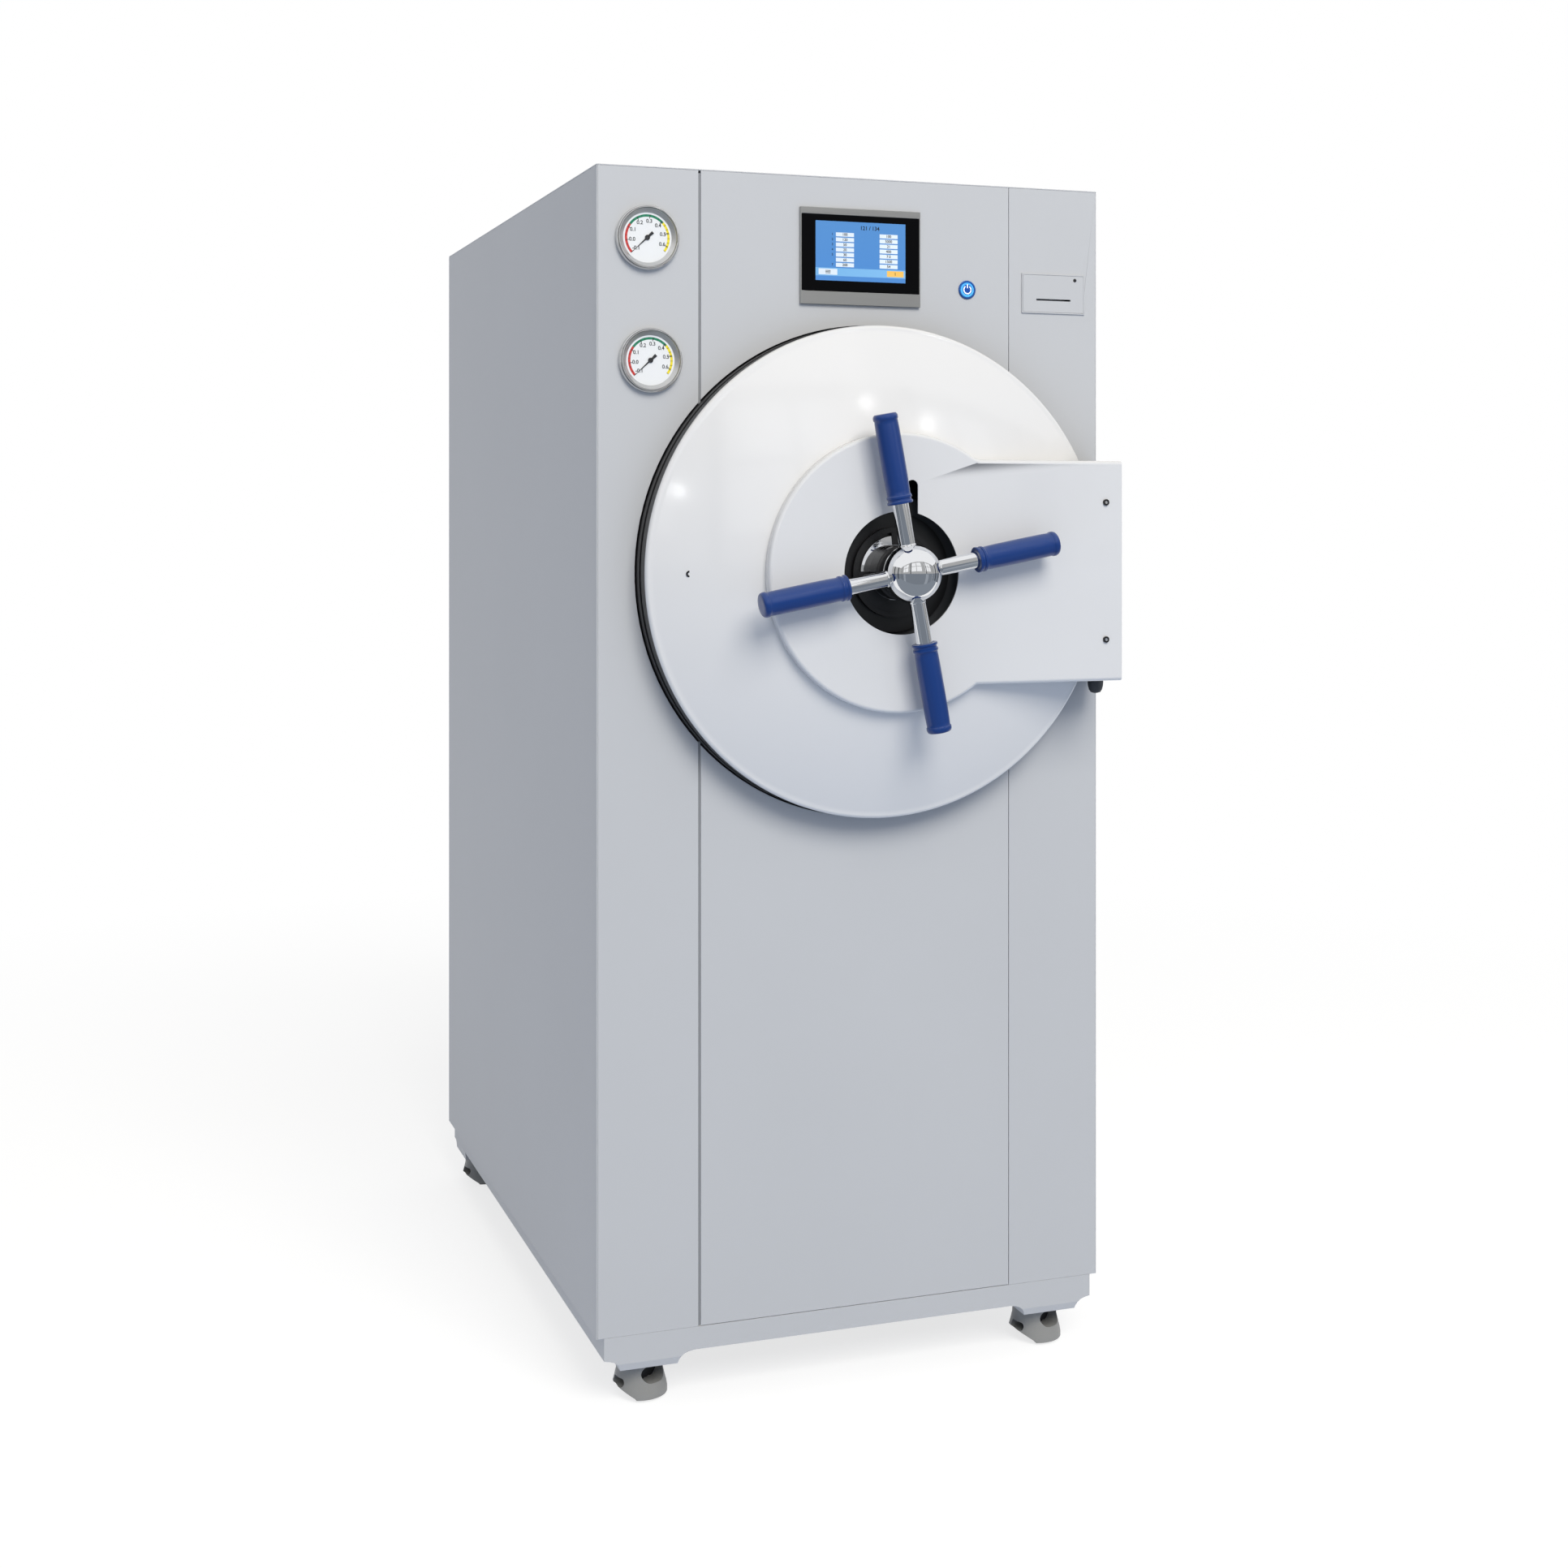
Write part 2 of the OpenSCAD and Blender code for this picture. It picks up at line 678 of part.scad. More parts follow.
module pump_set() {
    color("steelblue") {
        translate([pump_x - bed_w / 2, pump_y, bed_z]) cube([bed_w, saddle_y[1] - pump_y + tube_w, bed_t]);
        translate([pump_x - bed_w / 5, pump_y + bed_w / 3, bed_z + bed_t + motor_r + fin_h]) {
            rotate([-90, 180, 0]) translate([0, 0, pump_head_len]) motor(motor_r, motor_len, fin_count);
            rotate([-90, 0, 0]) cylinder(r = pump_head_r * 0.92, h = pump_head_len + cut);
            translate([0, pump_head_len / 2, 0]) cylinder(r = nozzle_r * 1.4, h = pump_head_r + nozzle_h);
            for (y = [pump_head_len * 0.3, pump_head_len + motor_len * 0.6])
                translate([-motor_r, y, -motor_r - fin_h])
                    cube([2 * motor_r, tube_w / 2, motor_r * 0.7]);
        }
        translate([pump_x + bed_w / 4, pump_y + bed_w / 3, bed_z + bed_t + motor_r * 0.7]) {
            rotate([-90, 180, 0]) translate([0, 0, pump_head_len * 0.6])
                motor(motor_r * 0.6, motor_len * 0.8, fin_count);
            rotate([-90, 0, 0]) cylinder(r = pump_head_r * 0.5, h = pump_head_len * 0.6 + cut);
            translate([0, pump_head_len * 0.3, 0]) cylinder(r = nozzle_r, h = pump_head_r * 0.5 + nozzle_h);
            for (y = [pump_head_len * 0.1, pump_head_len * 0.6 + motor_len * 0.5])
                translate([-motor_r * 0.5, y, -motor_r * 0.7])
                    cube([motor_r, tube_w / 2, motor_r * 0.5]);
        }
    }
}

// Valve group: a manifold with solenoid valves, two safety valves and the air filter
manifold_len = 420;
manifold_w = 44;
manifold_x = post_x - tube_w - manifold_w / 2 - 8 * sheet_t;
manifold_y = saddle_y[0] + 3 * tube_w;
manifold_drop = 180;
manifold_z = rail_z - manifold_drop;
valve_count = 5;
coil_w = 30;
coil_h = 42;
filter_r = 34;
filter_h = 120;

module solenoid_valve() {
    cylinder(r = manifold_w * 0.3, h = manifold_w * 0.5);
    translate([0, 0, manifold_w * 0.5]) block(coil_w, coil_w, coil_h);
    translate([0, 0, manifold_w * 0.5 + coil_h]) cylinder(r = coil_w * 0.3, h = coil_w * 0.25, $fn = 6);
}

module safety_valve() {
    cylinder(r = manifold_w * 0.28, h = manifold_w * 0.6);
    translate([0, 0, manifold_w * 0.6]) cylinder(r = manifold_w * 0.4, h = manifold_w * 0.7, $fn = 6);
    translate([0, 0, manifold_w * 1.3]) cylinder(r = manifold_w * 0.34, h = manifold_w * 0.9);
    translate([0, 0, manifold_w * 2.2])
        cylinder(r1 = manifold_w * 0.34, r2 = manifold_w * 0.12, h = manifold_w * 0.3);
    translate([0, 0, manifold_w * 0.95]) rotate([0, 90, 90])
        cylinder(r = manifold_w * 0.2, h = manifold_w * 0.7);
}

module valve_group() {
    pitch = manifold_len / (valve_count + 3);
    color("goldenrod") translate([manifold_x, manifold_y, manifold_z]) {
        translate([-manifold_w / 2, 0, 0]) cube([manifold_w, manifold_len, manifold_w]);
        for (i = [1:valve_count]) translate([0, i * pitch, manifold_w]) solenoid_valve();
        for (i = [1, 2]) translate([0, (valve_count + i) * pitch, manifold_w]) safety_valve();
        translate([0, pitch * 1.2, -filter_h - nozzle_h]) {
            cylinder(r = filter_r, h = filter_h);
            translate([0, 0, filter_h]) cylinder(r1 = filter_r, r2 = nozzle_r, h = nozzle_h / 2);
            cylinder(r = nozzle_r, h = filter_h + nozzle_h);
        }
        for (y = [tube_w, manifold_len - 2 * tube_w]) {
            translate([manifold_w / 2 - cut, y, 0])
                cube([post_x - manifold_x - manifold_w / 2 + cut, tube_w, sheet_t * 2]);
            translate([post_x - manifold_x - 2 * sheet_t, y, 0])
                cube([2 * sheet_t, tube_w, rail_z - manifold_z]);
        }
    }
}

// Pipework: runs of tube with round elbows, and the connections at the back
pipe_r = 10;
drain_r = 16;
inlet_r = 10.5;
gland_r = 9;
stub_z = service_z;
stub_x = [-120, -40, 40];
stub_flange_r = 26;
plate_d = 4;

elbow_share = 1.35;

module pipe(points, r) {
    last = len(points) - 1;
    for (i = [0:last - 1]) {
        run = points[i + 1] - points[i];
        l = norm(run);
        turn = atan2(run[1], run[0]);
        tilt = acos(run[2] / l);
        translate(points[i]) rotate([0, tilt, turn]) cylinder(r = r, h = l, $fn = 32);
        if (i > 0) translate(points[i]) sphere(r = r * elbow_share, $fn = 32);
    }
}

module service_plate() {
    translate([0, cabinet_d - sheet_t - plate_d, stub_z]) rotate([90, 0, 180]) {
        difference() {
            round_plate(service_w + tube_w, service_h + tube_w, plate_d, tube_w / 2);
            translate([gland_place, 0, -cut]) cylinder(r = gland_r, h = plate_d + 2 * cut);
        }
        translate([gland_place, 0, plate_d]) difference() {
            cylinder(r = gland_r + plate_d, h = stub_reach / 2 + sheet_t, $fn = 6);
            translate([0, 0, -cut]) cylinder(r = gland_r, h = stub_reach + 2 * cut);
        }
    }
}

gland_place = 120;
inlet_bore = 7;

module pipework() {
    y_back = cabinet_d - sheet_t - plate_d;
    boiler_top = boiler_z + boiler_r + nozzle_h;
    jacket_low = door_z - jacket_out;
    pump_a = [pump_x - bed_w / 5, pump_y + bed_w / 3 + pump_head_len / 2,
        bed_z + bed_t + motor_r + fin_h + pump_head_r + nozzle_h];
    pump_b = [pump_x + bed_w / 4, pump_y + bed_w / 3 + pump_head_len * 0.3,
        bed_z + bed_t + motor_r * 0.7 + pump_head_r * 0.5 + nozzle_h];
    low_y = boiler_y + boiler_len * 0.82;
    color([0.72, 0.45, 0.3]) {
        service_plate();
        pipe([[boiler_x, boiler_y + boiler_len * 0.18, boiler_top],
            [boiler_x, boiler_y + boiler_len * 0.18, rail_z - tube_w],
            [door_x, boiler_y + boiler_len * 0.18, rail_z - tube_w],
            [door_x, boiler_y + boiler_len * 0.18, jacket_low]], pipe_r);
        pipe([pump_a, pump_a + [0, 0, 3 * tube_w], [pump_a[0], low_y - tube_w, pump_a[2] + 3 * tube_w],
            [door_x + tube_w, low_y - tube_w, pump_a[2] + 3 * tube_w], [door_x + tube_w, low_y - tube_w,
            door_z - sqrt(pow(jacket_out, 2) - pow(tube_w - drain_r, 2))]], drain_r * 0.8);
        pipe([pump_b, pump_b + [0, 0, tube_w], [pump_b[0], low_y + 3 * tube_w, pump_b[2] + tube_w],
            [-stub_x[0], low_y + 3 * tube_w, stub_z], [-stub_x[0], y_back, stub_z]], pipe_r);
        pipe([[boiler_x, low_y, boiler_top], [boiler_x, low_y, boiler_top + tube_w],
            [stub_x[1], low_y + 2 * tube_w, boiler_top + tube_w], [stub_x[1], y_back - 2 * tube_w, stub_z],
            [stub_x[1], y_back, stub_z]], pipe_r);
        pipe([[manifold_x - manifold_w / 2, manifold_y + manifold_len / 2, manifold_z + manifold_w / 2],
            [stub_x[2], manifold_y + manifold_len / 2, manifold_z + manifold_w / 2],
            [stub_x[2], y_back - tube_w, manifold_z + manifold_w / 2], [stub_x[2], y_back - tube_w, stub_z],
            [stub_x[2], y_back, stub_z]], pipe_r);
        for (s = [[-stub_x[0], inlet_r], [stub_x[1], drain_r], [stub_x[2], drain_r]])
            translate([s[0], y_back, stub_z]) rotate([-90, 0, 0]) {
                cylinder(r = stub_flange_r, h = plate_d + sheet_t + plate_d);
                difference() {
                    cylinder(r = s[1], h = rear_reach - y_back);
                    translate([0, 0, stub_reach / 2]) cylinder(r = s[1] - inlet_bore / 2, h = rear_reach);
                }
            }
    }
}

// Control box under the top, behind the touch panel
box_w = 420;
box_d = 300;
box_h = 180;
box_y = post_front + 2 * tube_w;

module control_box() {
    color("whitesmoke") translate([door_x - box_w / 2, box_y, top_z - sheet_t - box_h]) difference() {
        union() {
            cube([box_w, box_d, box_h]);
            translate([box_w * 0.06, -sheet_t, box_h * 0.08])
                cube([box_w * 0.88, sheet_t + cut, box_h * 0.84]);
            for (i = [1:3]) translate([box_w * i / 4, box_d, box_h / 2]) rotate([-90, 0, 0])
                cylinder(r = gland_r + plate_d, h = 3 * plate_d, $fn = 6);
        }
        translate([sheet_t, sheet_t, sheet_t])
            cube([box_w - 2 * sheet_t, box_d - 2 * sheet_t, box_h - 2 * sheet_t]);
        for (i = [1:3]) translate([box_w * i / 4, box_d / 2, box_h / 2]) rotate([-90, 0, 0])
            cylinder(r = gland_r * 0.6, h = box_d, $fn = 32);
    }
}

// Gauges: case and bezel, dial, glass and needle
gauge_body_r = 44;
gauge_depth = 34;
bezel_d = 13;
bezel_t = 6;
dial_t = 1;
dial_front = 3;
glass_t = 2;
needle_front = dial_front + dial_t + fit;
needle_t = 1;
needle_len = 33;
needle_tail = 12;
needle_rest = -133;
hub_r = 4;
stem_r = 6;

module gauge_case() {
    difference() {
        union() {
            rotate_extrude() polygon([[0, 0], [gauge_r, 0], [gauge_r, bezel_d * 0.45],
                [gauge_r - bezel_t * 0.25, bezel_d * 0.8], [gauge_r - bezel_t * 0.6, bezel_d],
                [gauge_r - bezel_t, bezel_d], [0, bezel_d]]);
            translate([0, 0, -gauge_depth]) cylinder(r = gauge_body_r, h = gauge_depth + cut);
            translate([0, 0, -gauge_depth - 3 * stem_r]) cylinder(r = stem_r, h = 3 * stem_r + cut);
        }
        translate([0, 0, dial_front]) cylinder(r = gauge_body_r, h = bezel_d);
    }
}

module gauge_cases() {
    color("silver") for (g = gauge_places) on_front(g) gauge_case();
}

module gauge_dials() {
    color("white") for (g = gauge_places) on_front(g) difference() {
        translate([0, 0, dial_front]) cylinder(r = gauge_body_r - fit, h = dial_t);
        translate([0, 0, dial_front - cut]) cylinder(r = needle_pin_r + fit, h = dial_t + 2 * cut);
    }
}

module gauge_glasses() {
    color([0.9, 0.95, 1, 0.3]) for (g = gauge_places) on_front(g)
        translate([0, 0, bezel_d - glass_t - dial_t]) cylinder(r = gauge_body_r - running_fit, h = glass_t);
}

needle_pin_r = 1.5;

module needle(i) {
    color([0.08, 0.08, 0.09]) on_front(gauge_places[i]) rotate([0, 0, -needle_rest]) {
        translate([0, 0, needle_front]) {
            linear_extrude(needle_t) polygon([[-hub_r * 0.35, 0], [0, needle_len], [hub_r * 0.35, 0]]);
            linear_extrude(needle_t) polygon([[-hub_r * 0.35, 0], [-hub_r * 0.6, -needle_tail],
                [hub_r * 0.6, -needle_tail], [hub_r * 0.35, 0]]);
            cylinder(r = hub_r, h = 1.6 * needle_t, $fn = 32);
        }
        translate([0, 0, dial_front + fit]) cylinder(r = needle_pin_r, h = dial_t + fit, $fn = 24);
    }
}

module upper_gauge_needle() {
    needle(0);
}

module lower_gauge_needle() {
    needle(1);
}

// Touch panel: a frame with a bar above and below the glass
touch_margin = 8;
touch_front = 6;
touch_depth = 38;
touch_bars = [21, 11];
touch_side = 2;
glass_d = 1.6;

module touch_frame() {
    color("darkgray") on_front(touch_place) {
        difference() {
            union() {
                cube([touch_w, touch_h, touch_front]);
                translate([touch_margin, touch_margin, -touch_depth])
                    cube([touch_w - 2 * touch_margin, touch_h - 2 * touch_margin, touch_depth + cut]);
            }
            translate([touch_side, touch_bars[0], touch_front - glass_d])
                cube([touch_w - 2 * touch_side, touch_h - touch_bars[0] - touch_bars[1], glass_d + cut]);
        }
    }
}

module touch_glass() {
    color([0.05, 0.05, 0.06]) on_front(touch_place)
        translate([touch_side + fit / 3, touch_bars[0] + fit / 3, touch_front - glass_d])
            cube([touch_w - 2 * touch_side - 2 * fit / 3,
                touch_h - touch_bars[0] - touch_bars[1] - 2 * fit / 3,
                glass_d - fit / 3]);
}

// Power button: a ring in the panel and a sprung cap in the ring
power_lip = 2;
power_front = 2.5;
power_depth = 30;
power_wall = 3;
power_cap_t = 6;

module power_button_ring() {
    color("silver") on_front(power_place) difference() {
        union() {
            cylinder(r = power_r, h = power_front);
            translate([0, 0, -power_depth]) cylinder(r = power_r - power_lip, h = power_depth + cut);
        }
        translate([0, 0, -power_cap_t - 2 * power_travel])
            cylinder(r = power_r - power_wall, h = power_depth);
    }
}

module power_button() {
    color("royalblue") on_front(power_place) translate([0, 0, power_front + fit - power_cap_t])
        cylinder(r = power_r - power_wall - fit, h = power_cap_t);
}

// Printer: housing in the panel, a cover hinged along its lower edge, the roll and a feed button
printer_margin = 4;
printer_depth = 62;
printer_wall = 2;
printer_cover_t = 3;
printer_front = 2.4;
roll_r = 19;
roll_w = 58;
roll_core_r = 6;
roll_shaft_r = roll_core_r - fit;
slot_w = 62;
slot_h = 3;
slot_up = 21;
feed_r = 2.6;
feed_travel = 1;
feed_place = [96, 56];

module printer_housing() {
    w = printer_w - 2 * printer_margin;
    h = printer_h - 2 * printer_margin;
    color("whitesmoke") on_front(printer_place) {
        difference() {
            union() {
                cube([printer_w, printer_h, printer_front]);
                translate([printer_margin, printer_margin, -printer_depth])
                    cube([w, h, printer_depth + cut]);
            }
            translate([printer_margin + printer_wall, printer_margin + printer_wall,
                -printer_depth + printer_wall])
                cube([w - 2 * printer_wall, h - 2 * printer_wall, printer_depth + printer_front]);
            translate([printer_wall, printer_wall, printer_front - printer_cover_t + sheet_t / 2 - fit])
                cube([printer_w - 2 * printer_wall, printer_h - 2 * printer_wall, printer_cover_t + cut]);
        }
        translate([printer_margin + cut, printer_h / 2, -printer_depth / 2])
            rotate([0, 90, 0]) cylinder(r = roll_shaft_r, h = w - 2 * cut, $fn = 32);
    }
}

cover_back = printer_front - printer_cover_t + sheet_t / 2;
cover_edge = printer_wall + fit;

module printer_cover() {
    w = printer_w - 2 * cover_edge;
    h = printer_h - 2 * cover_edge;
    color("gainsboro") on_front(printer_place) difference() {
        translate([cover_edge, cover_edge, cover_back]) cube([w, h, printer_front - cover_back]);
        translate([(printer_w - slot_w) / 2, slot_up, cover_back - cut])
            cube([slot_w, slot_h, printer_cover_t + cut]);
        translate([feed_place[0], feed_place[1], cover_back - cut])
            cylinder(r = feed_r + fit, h = printer_cover_t + cut, $fn = 24);
    }
}

module printer_feed_button() {
    color([0.15, 0.15, 0.16]) on_front(printer_place)
        translate([feed_place[0], feed_place[1], cover_back - feed_travel])
            cylinder(r = feed_r, h = printer_front - cover_back + 2 * feed_travel, $fn = 24);
}

module paper_roll() {
    color("white") on_front(printer_place)
        translate([(printer_w - roll_w) / 2, printer_h / 2, -printer_depth / 2]) rotate([0, 90, 0])
            difference() {
                cylinder(r = roll_r, h = roll_w, $fn = 64);
                translate([0, 0, -cut]) cylinder(r = roll_core_r, h = roll_w + 2 * cut, $fn = 64);
            }
}

// Hinge: two forked brackets with their pins, fixed to the ring's ears through the right column
neck_x = -4;
bracket_edge = 21;
bracket_low = 4;

module hinge_bracket(side) {
    ear_b = lug_y + lug_t / 2 + fit;
    translate([hinge_local, 0, 0]) scale([1, side, 1]) {
        translate([neck_x, ear_in - bracket_low, 0])
            cube([bracket_edge - neck_x, ear_b + ear_t + pin_head + bracket_low - ear_in, bracket_t]);
        for (y = [ear_in, ear_b]) translate([0, y, 0]) {
            translate([neck_x, 0, 0]) cube([ear_r - neck_x, ear_t, hinge_front]);
            translate([0, 0, hinge_front]) rotate([-90, 0, 0]) cylinder(r = ear_r, h = ear_t, $fn = 64);
        }
        translate([0, ear_in + cut, hinge_front]) rotate([-90, 0, 0]) {
            cylinder(r = pin_r, h = ear_b + ear_t - ear_in, $fn = 48);
            translate([0, 0, ear_b + ear_t - ear_in - 2 * cut]) if (side > 0)
                cylinder(r = ear_r * 0.85, h = pin_head, $fn = 48);
            else
                rotate_extrude($fn = 48) polygon([for (s = cap_shares) [ear_r * s[0], pin_cap * s[1]]]);
        }
    }
}

module hinge_brackets() {
    color("dimgray") on_door() for (side = [-1, 1]) hinge_bracket(side);
}

// Casters: a solid bell with a slot for the wheel, a window, an oval hole and a cut for the toe
hood_gap = 4;
wheel_gap = 3;
axle_r = 4;
axle_seat = 3.5;
wheel_tread = 3;
hood_turn = -62;
window_h = 27;
window_w = 46;
window_z = 40;
oval_h = 13;
oval_w = 30;
oval_z = 26;
oval_turn = -12;
toe_in = 15;
toe_angle = 32;
toe_turn = -28;

// The hood's outline as shares of its foot radius and of its height
hood_shares = [[1, 0], [1, 0.12], [0.97, 0.25], [0.9, 0.45], [0.84, 0.65], [0.83, 0.85], [0.86, 1]];

module hood_profile(r_foot, low, high) {
    polygon(concat([[0, low]], [for (s = hood_shares) [r_foot * s[0], low + (high - low) * s[1]]],
        [[0, high]]));
}

module hood() {
    slot_half = wheel_w / 2 + fit;
    slot_r = wheel_r + wheel_gap;
    color("gray") rotate([0, 0, hood_turn]) {
        difference() {
            rotate_extrude($fn = 64) hood_profile(hood_r, hood_gap, caster_h - fit);
            translate([-slot_half, 0, 0]) rotate([90, 0, 90]) linear_extrude(2 * slot_half) union() {
                translate([caster_trail, wheel_r]) circle(slot_r, $fn = 64);
                translate([caster_trail - slot_r, -cut]) square([2 * slot_r, wheel_r + cut]);
            }
            translate([0, 0, window_z]) rotate([90, 0, 90]) linear_extrude(2 * hood_r)
                stadium(window_w, window_h);
            translate([0, 0, oval_z]) rotate([90, 0, oval_turn]) linear_extrude(2 * hood_r)
                stadium(oval_w, oval_h);
            rotate([0, 0, toe_turn]) translate([0, -toe_in, hood_gap + cut]) rotate([-toe_angle, 0, 0])
                translate([-2 * hood_r, -4 * hood_r, -4 * hood_r]) cube(4 * hood_r);
        }
        translate([-slot_half - axle_seat, caster_trail, wheel_r]) rotate([0, 90, 0])
            cylinder(r = axle_r, h = 2 * (slot_half + axle_seat), $fn = 32);
    }
}

module wheel() {
    bore = axle_r + running_fit;
    color([0.12, 0.12, 0.13]) rotate([0, 0, hood_turn]) translate([-wheel_w / 2, caster_trail, wheel_r])
        rotate([0, 90, 0]) rotate_extrude($fn = 64)
            polygon([[bore, 0], [wheel_r - wheel_tread, 0], [wheel_r, wheel_tread],
                [wheel_r, wheel_w - wheel_tread], [wheel_r - wheel_tread, wheel_w], [bore, wheel_w]]);
}

module at_caster(i) {
    translate([caster_places[i][0], caster_places[i][1], 0]) children();
}

module front_left_hood() { at_caster(0) hood(); }
module front_right_hood() { at_caster(1) hood(); }
module rear_left_hood() { at_caster(2) hood(); }
module rear_right_hood() { at_caster(3) hood(); }
module front_left_wheel() { at_caster(0) wheel(); }
module front_right_wheel() { at_caster(1) wheel(); }
module rear_left_wheel() { at_caster(2) wheel(); }
module rear_right_wheel() { at_caster(3) wheel(); }

// Pressure plate with the bolt guides, the spindle's foot bearing and the posts of the front frame
guide_r0 = 232;
guide_edge = 26;
guide_len = plate_r - guide_r0 - guide_edge;
guide_w = 44;
post_r = 15;
post_place_r = 262;
bearing_r = 34;
spindle_r = 17;
foot_r = 12;
foot_d = 10;
bolt_spacing = 360 / bolt_count;

module door_plate() {
    color("slategray") on_door() difference() {
        union() {
            translate([0, 0, -plate_back]) rotate_extrude($fn = 180)
                polygon([[0, 0], [plate_r - plate_t / 4, 0], [plate_r, plate_t / 4],
                    [plate_r, plate_t * 0.8], [plate_r - plate_t / 5, plate_t], [0, plate_t]]);
            translate([0, 0, plate_front - cut]) cylinder(r = bearing_r, h = foot_d + cut);
            for (i = [0:bolt_count - 1]) rotate([0, 0, i * bolt_spacing]) {
                translate([guide_r0, -guide_w / 2, plate_front - cut])
                    cube([guide_len, guide_w, bolt_axis - plate_front + bolt_r + bolt_r / 2 + cut]);
                rotate([0, 0, bolt_spacing / 2]) translate([post_place_r, 0, plate_front - cut])
                    cylinder(r = post_r, h = rim_back - plate_front + cut, $fn = 48);
            }
        }
        for (i = [0:bolt_count - 1]) rotate([0, 0, i * bolt_spacing])
            translate([guide_r0 - cut, 0, bolt_axis])
            rotate([0, 90, 0]) cylinder(r = bolt_r + running_fit, h = guide_len + 2 * cut, $fn = 64);
        translate([0, 0, plate_front]) cylinder(r = foot_r + running_fit, h = foot_d + cut, $fn = 64);
    }
}

// Lock bolts: a round bolt with a flat tongue that carries the scroll pin
tongue_t = 12;
tongue_in = scroll_r - 2 * scroll_pin_r;
tongue_out = guide_r0 - bolt_travel - 8 * fit;
bolt_tip = collar_r - scroll_pin_r;
nose = 3;
scroll_back = bolt_axis + tongue_t;
scroll_t = 10;
pin_top = scroll_back + scroll_t - fit;

module lock_bolt(i) {
    color("lightslategray") on_door() rotate([0, 0, i * bolt_spacing]) {
        translate([tongue_out, 0, bolt_axis]) rotate([0, 90, 0]) {
            cylinder(r = bolt_r, h = bolt_tip - nose - tongue_out, $fn = 64);
            translate([0, 0, bolt_tip - nose - tongue_out])
                cylinder(r1 = bolt_r, r2 = bolt_r - nose, h = nose, $fn = 64);
        }
        translate([tongue_in, -bolt_r * 0.9, bolt_axis - tongue_t / 2])
            cube([tongue_out - tongue_in + cut, bolt_r * 1.8, tongue_t]);
        translate([scroll_r, 0, bolt_axis]) cylinder(r = scroll_pin_r, h = pin_top - bolt_axis, $fn = 48);
    }
}

module lock_bolt_1() { lock_bolt(0); }
module lock_bolt_2() { lock_bolt(1); }
module lock_bolt_3() { lock_bolt(2); }
module lock_bolt_4() { lock_bolt(3); }
module lock_bolt_5() { lock_bolt(4); }
module lock_bolt_6() { lock_bolt(5); }

// Scroll spindle: the shaft, its polished shoulder and the plate with one spiral slot for each bolt
scroll_rate = bolt_travel / lock_angle;
scroll_plate_r = scroll_r + bolt_travel + 4 * scroll_pin_r;
slot_half = scroll_pin_r + fit;
slot_steps = 15;
shoulder_r = 57;
shoulder_back = boss_front + casting_t + fit;
shoulder_t = 6;

// A point of the slot's wall: the spiral's point moved sideways along its normal
function spiral_point(angle, side) =
    let (r = scroll_r + scroll_rate * angle, slope = atan(scroll_rate * 180 / PI / r))
    [r * cos(angle) + side * cos(angle - slope), r * sin(angle) + side * sin(angle - slope)];

module scroll_slot() {
    union() {
        polygon(concat([for (k = [0:slot_steps]) spiral_point(lock_angle * k / slot_steps, slot_half)],
            [for (k = [slot_steps:-1:0]) spiral_point(lock_angle * k / slot_steps, -slot_half)]));
        for (a = [0, lock_angle]) translate(spiral_point(a, 0)) circle(slot_half, $fn = 48);
    }
}

module scroll_spindle() {
    color("silver") on_door() {
        translate([0, 0, scroll_back]) linear_extrude(scroll_t) difference() {
            circle(scroll_plate_r, $fn = 128);
            for (i = [0:bolt_count - 1]) rotate([0, 0, i * bolt_spacing]) scroll_slot();
        }
        translate([0, 0, plate_front + fit]) cylinder(r = foot_r, h = foot_d + cut, $fn = 64);
        translate([0, 0, plate_front + foot_d + fit])
            cylinder(r = spindle_r, h = ball_front - plate_front - foot_d - fit - ball_r * 0.8, $fn = 64);
        translate([0, 0, shoulder_back]) cylinder(r = shoulder_r, h = shoulder_t, $fn = 96);
    }
}

// Front frame of the door: a round plate with a deep black rim
frame_hole_r = 70;

module door_frame() {
    color([0.1, 0.1, 0.11]) on_door() rotate_extrude($fn = 240) difference() {
        translate([frame_hole_r, rim_back]) square([rim_r - frame_hole_r, rim_d]);
        translate([frame_hole_r - cut, rim_back + rim_t])
            square([rim_r - rim_t - frame_hole_r + cut, rim_d]);
    }
}

// Domed cover: its outline is a rounded rim and a shallow curve up to the arm cover
dome_in = 200;
dome_round = 7;
dome_steps = 10;
cover_t = 2;
dome_bow = 5;
arm_lap = 18;
end_lap = 7;
arm_cut_half = arm_half - arm_lap;
arm_cut_x = arm_right - end_lap;

function dome_height(r) = let (s = (cover_r - dome_round - r) / (cover_r - dome_round - dome_in))
    rim_front + dome_round + (dome_rise - dome_round) * s + dome_bow * 4 * s * (1 - s);

function dome_outline(inset) = concat(
    [for (k = [0:4]) [cover_r - dome_round + (dome_round - inset) * cos(90 * k / 4),
        rim_front + (dome_round - inset) * sin(90 * k / 4)]],
    [for (k = [1:dome_steps])
        let (r = cover_r - dome_round - (cover_r - dome_round - dome_in) * k / dome_steps)
        [r, dome_height(r) - inset]]);

module dome_solid(grow) {
    rotate_extrude($fn = 240) polygon(concat([[0, rim_front - cut], [cover_r + grow, rim_front - cut]],
        dome_outline(-grow), [[0, dome_front + grow]]));
}

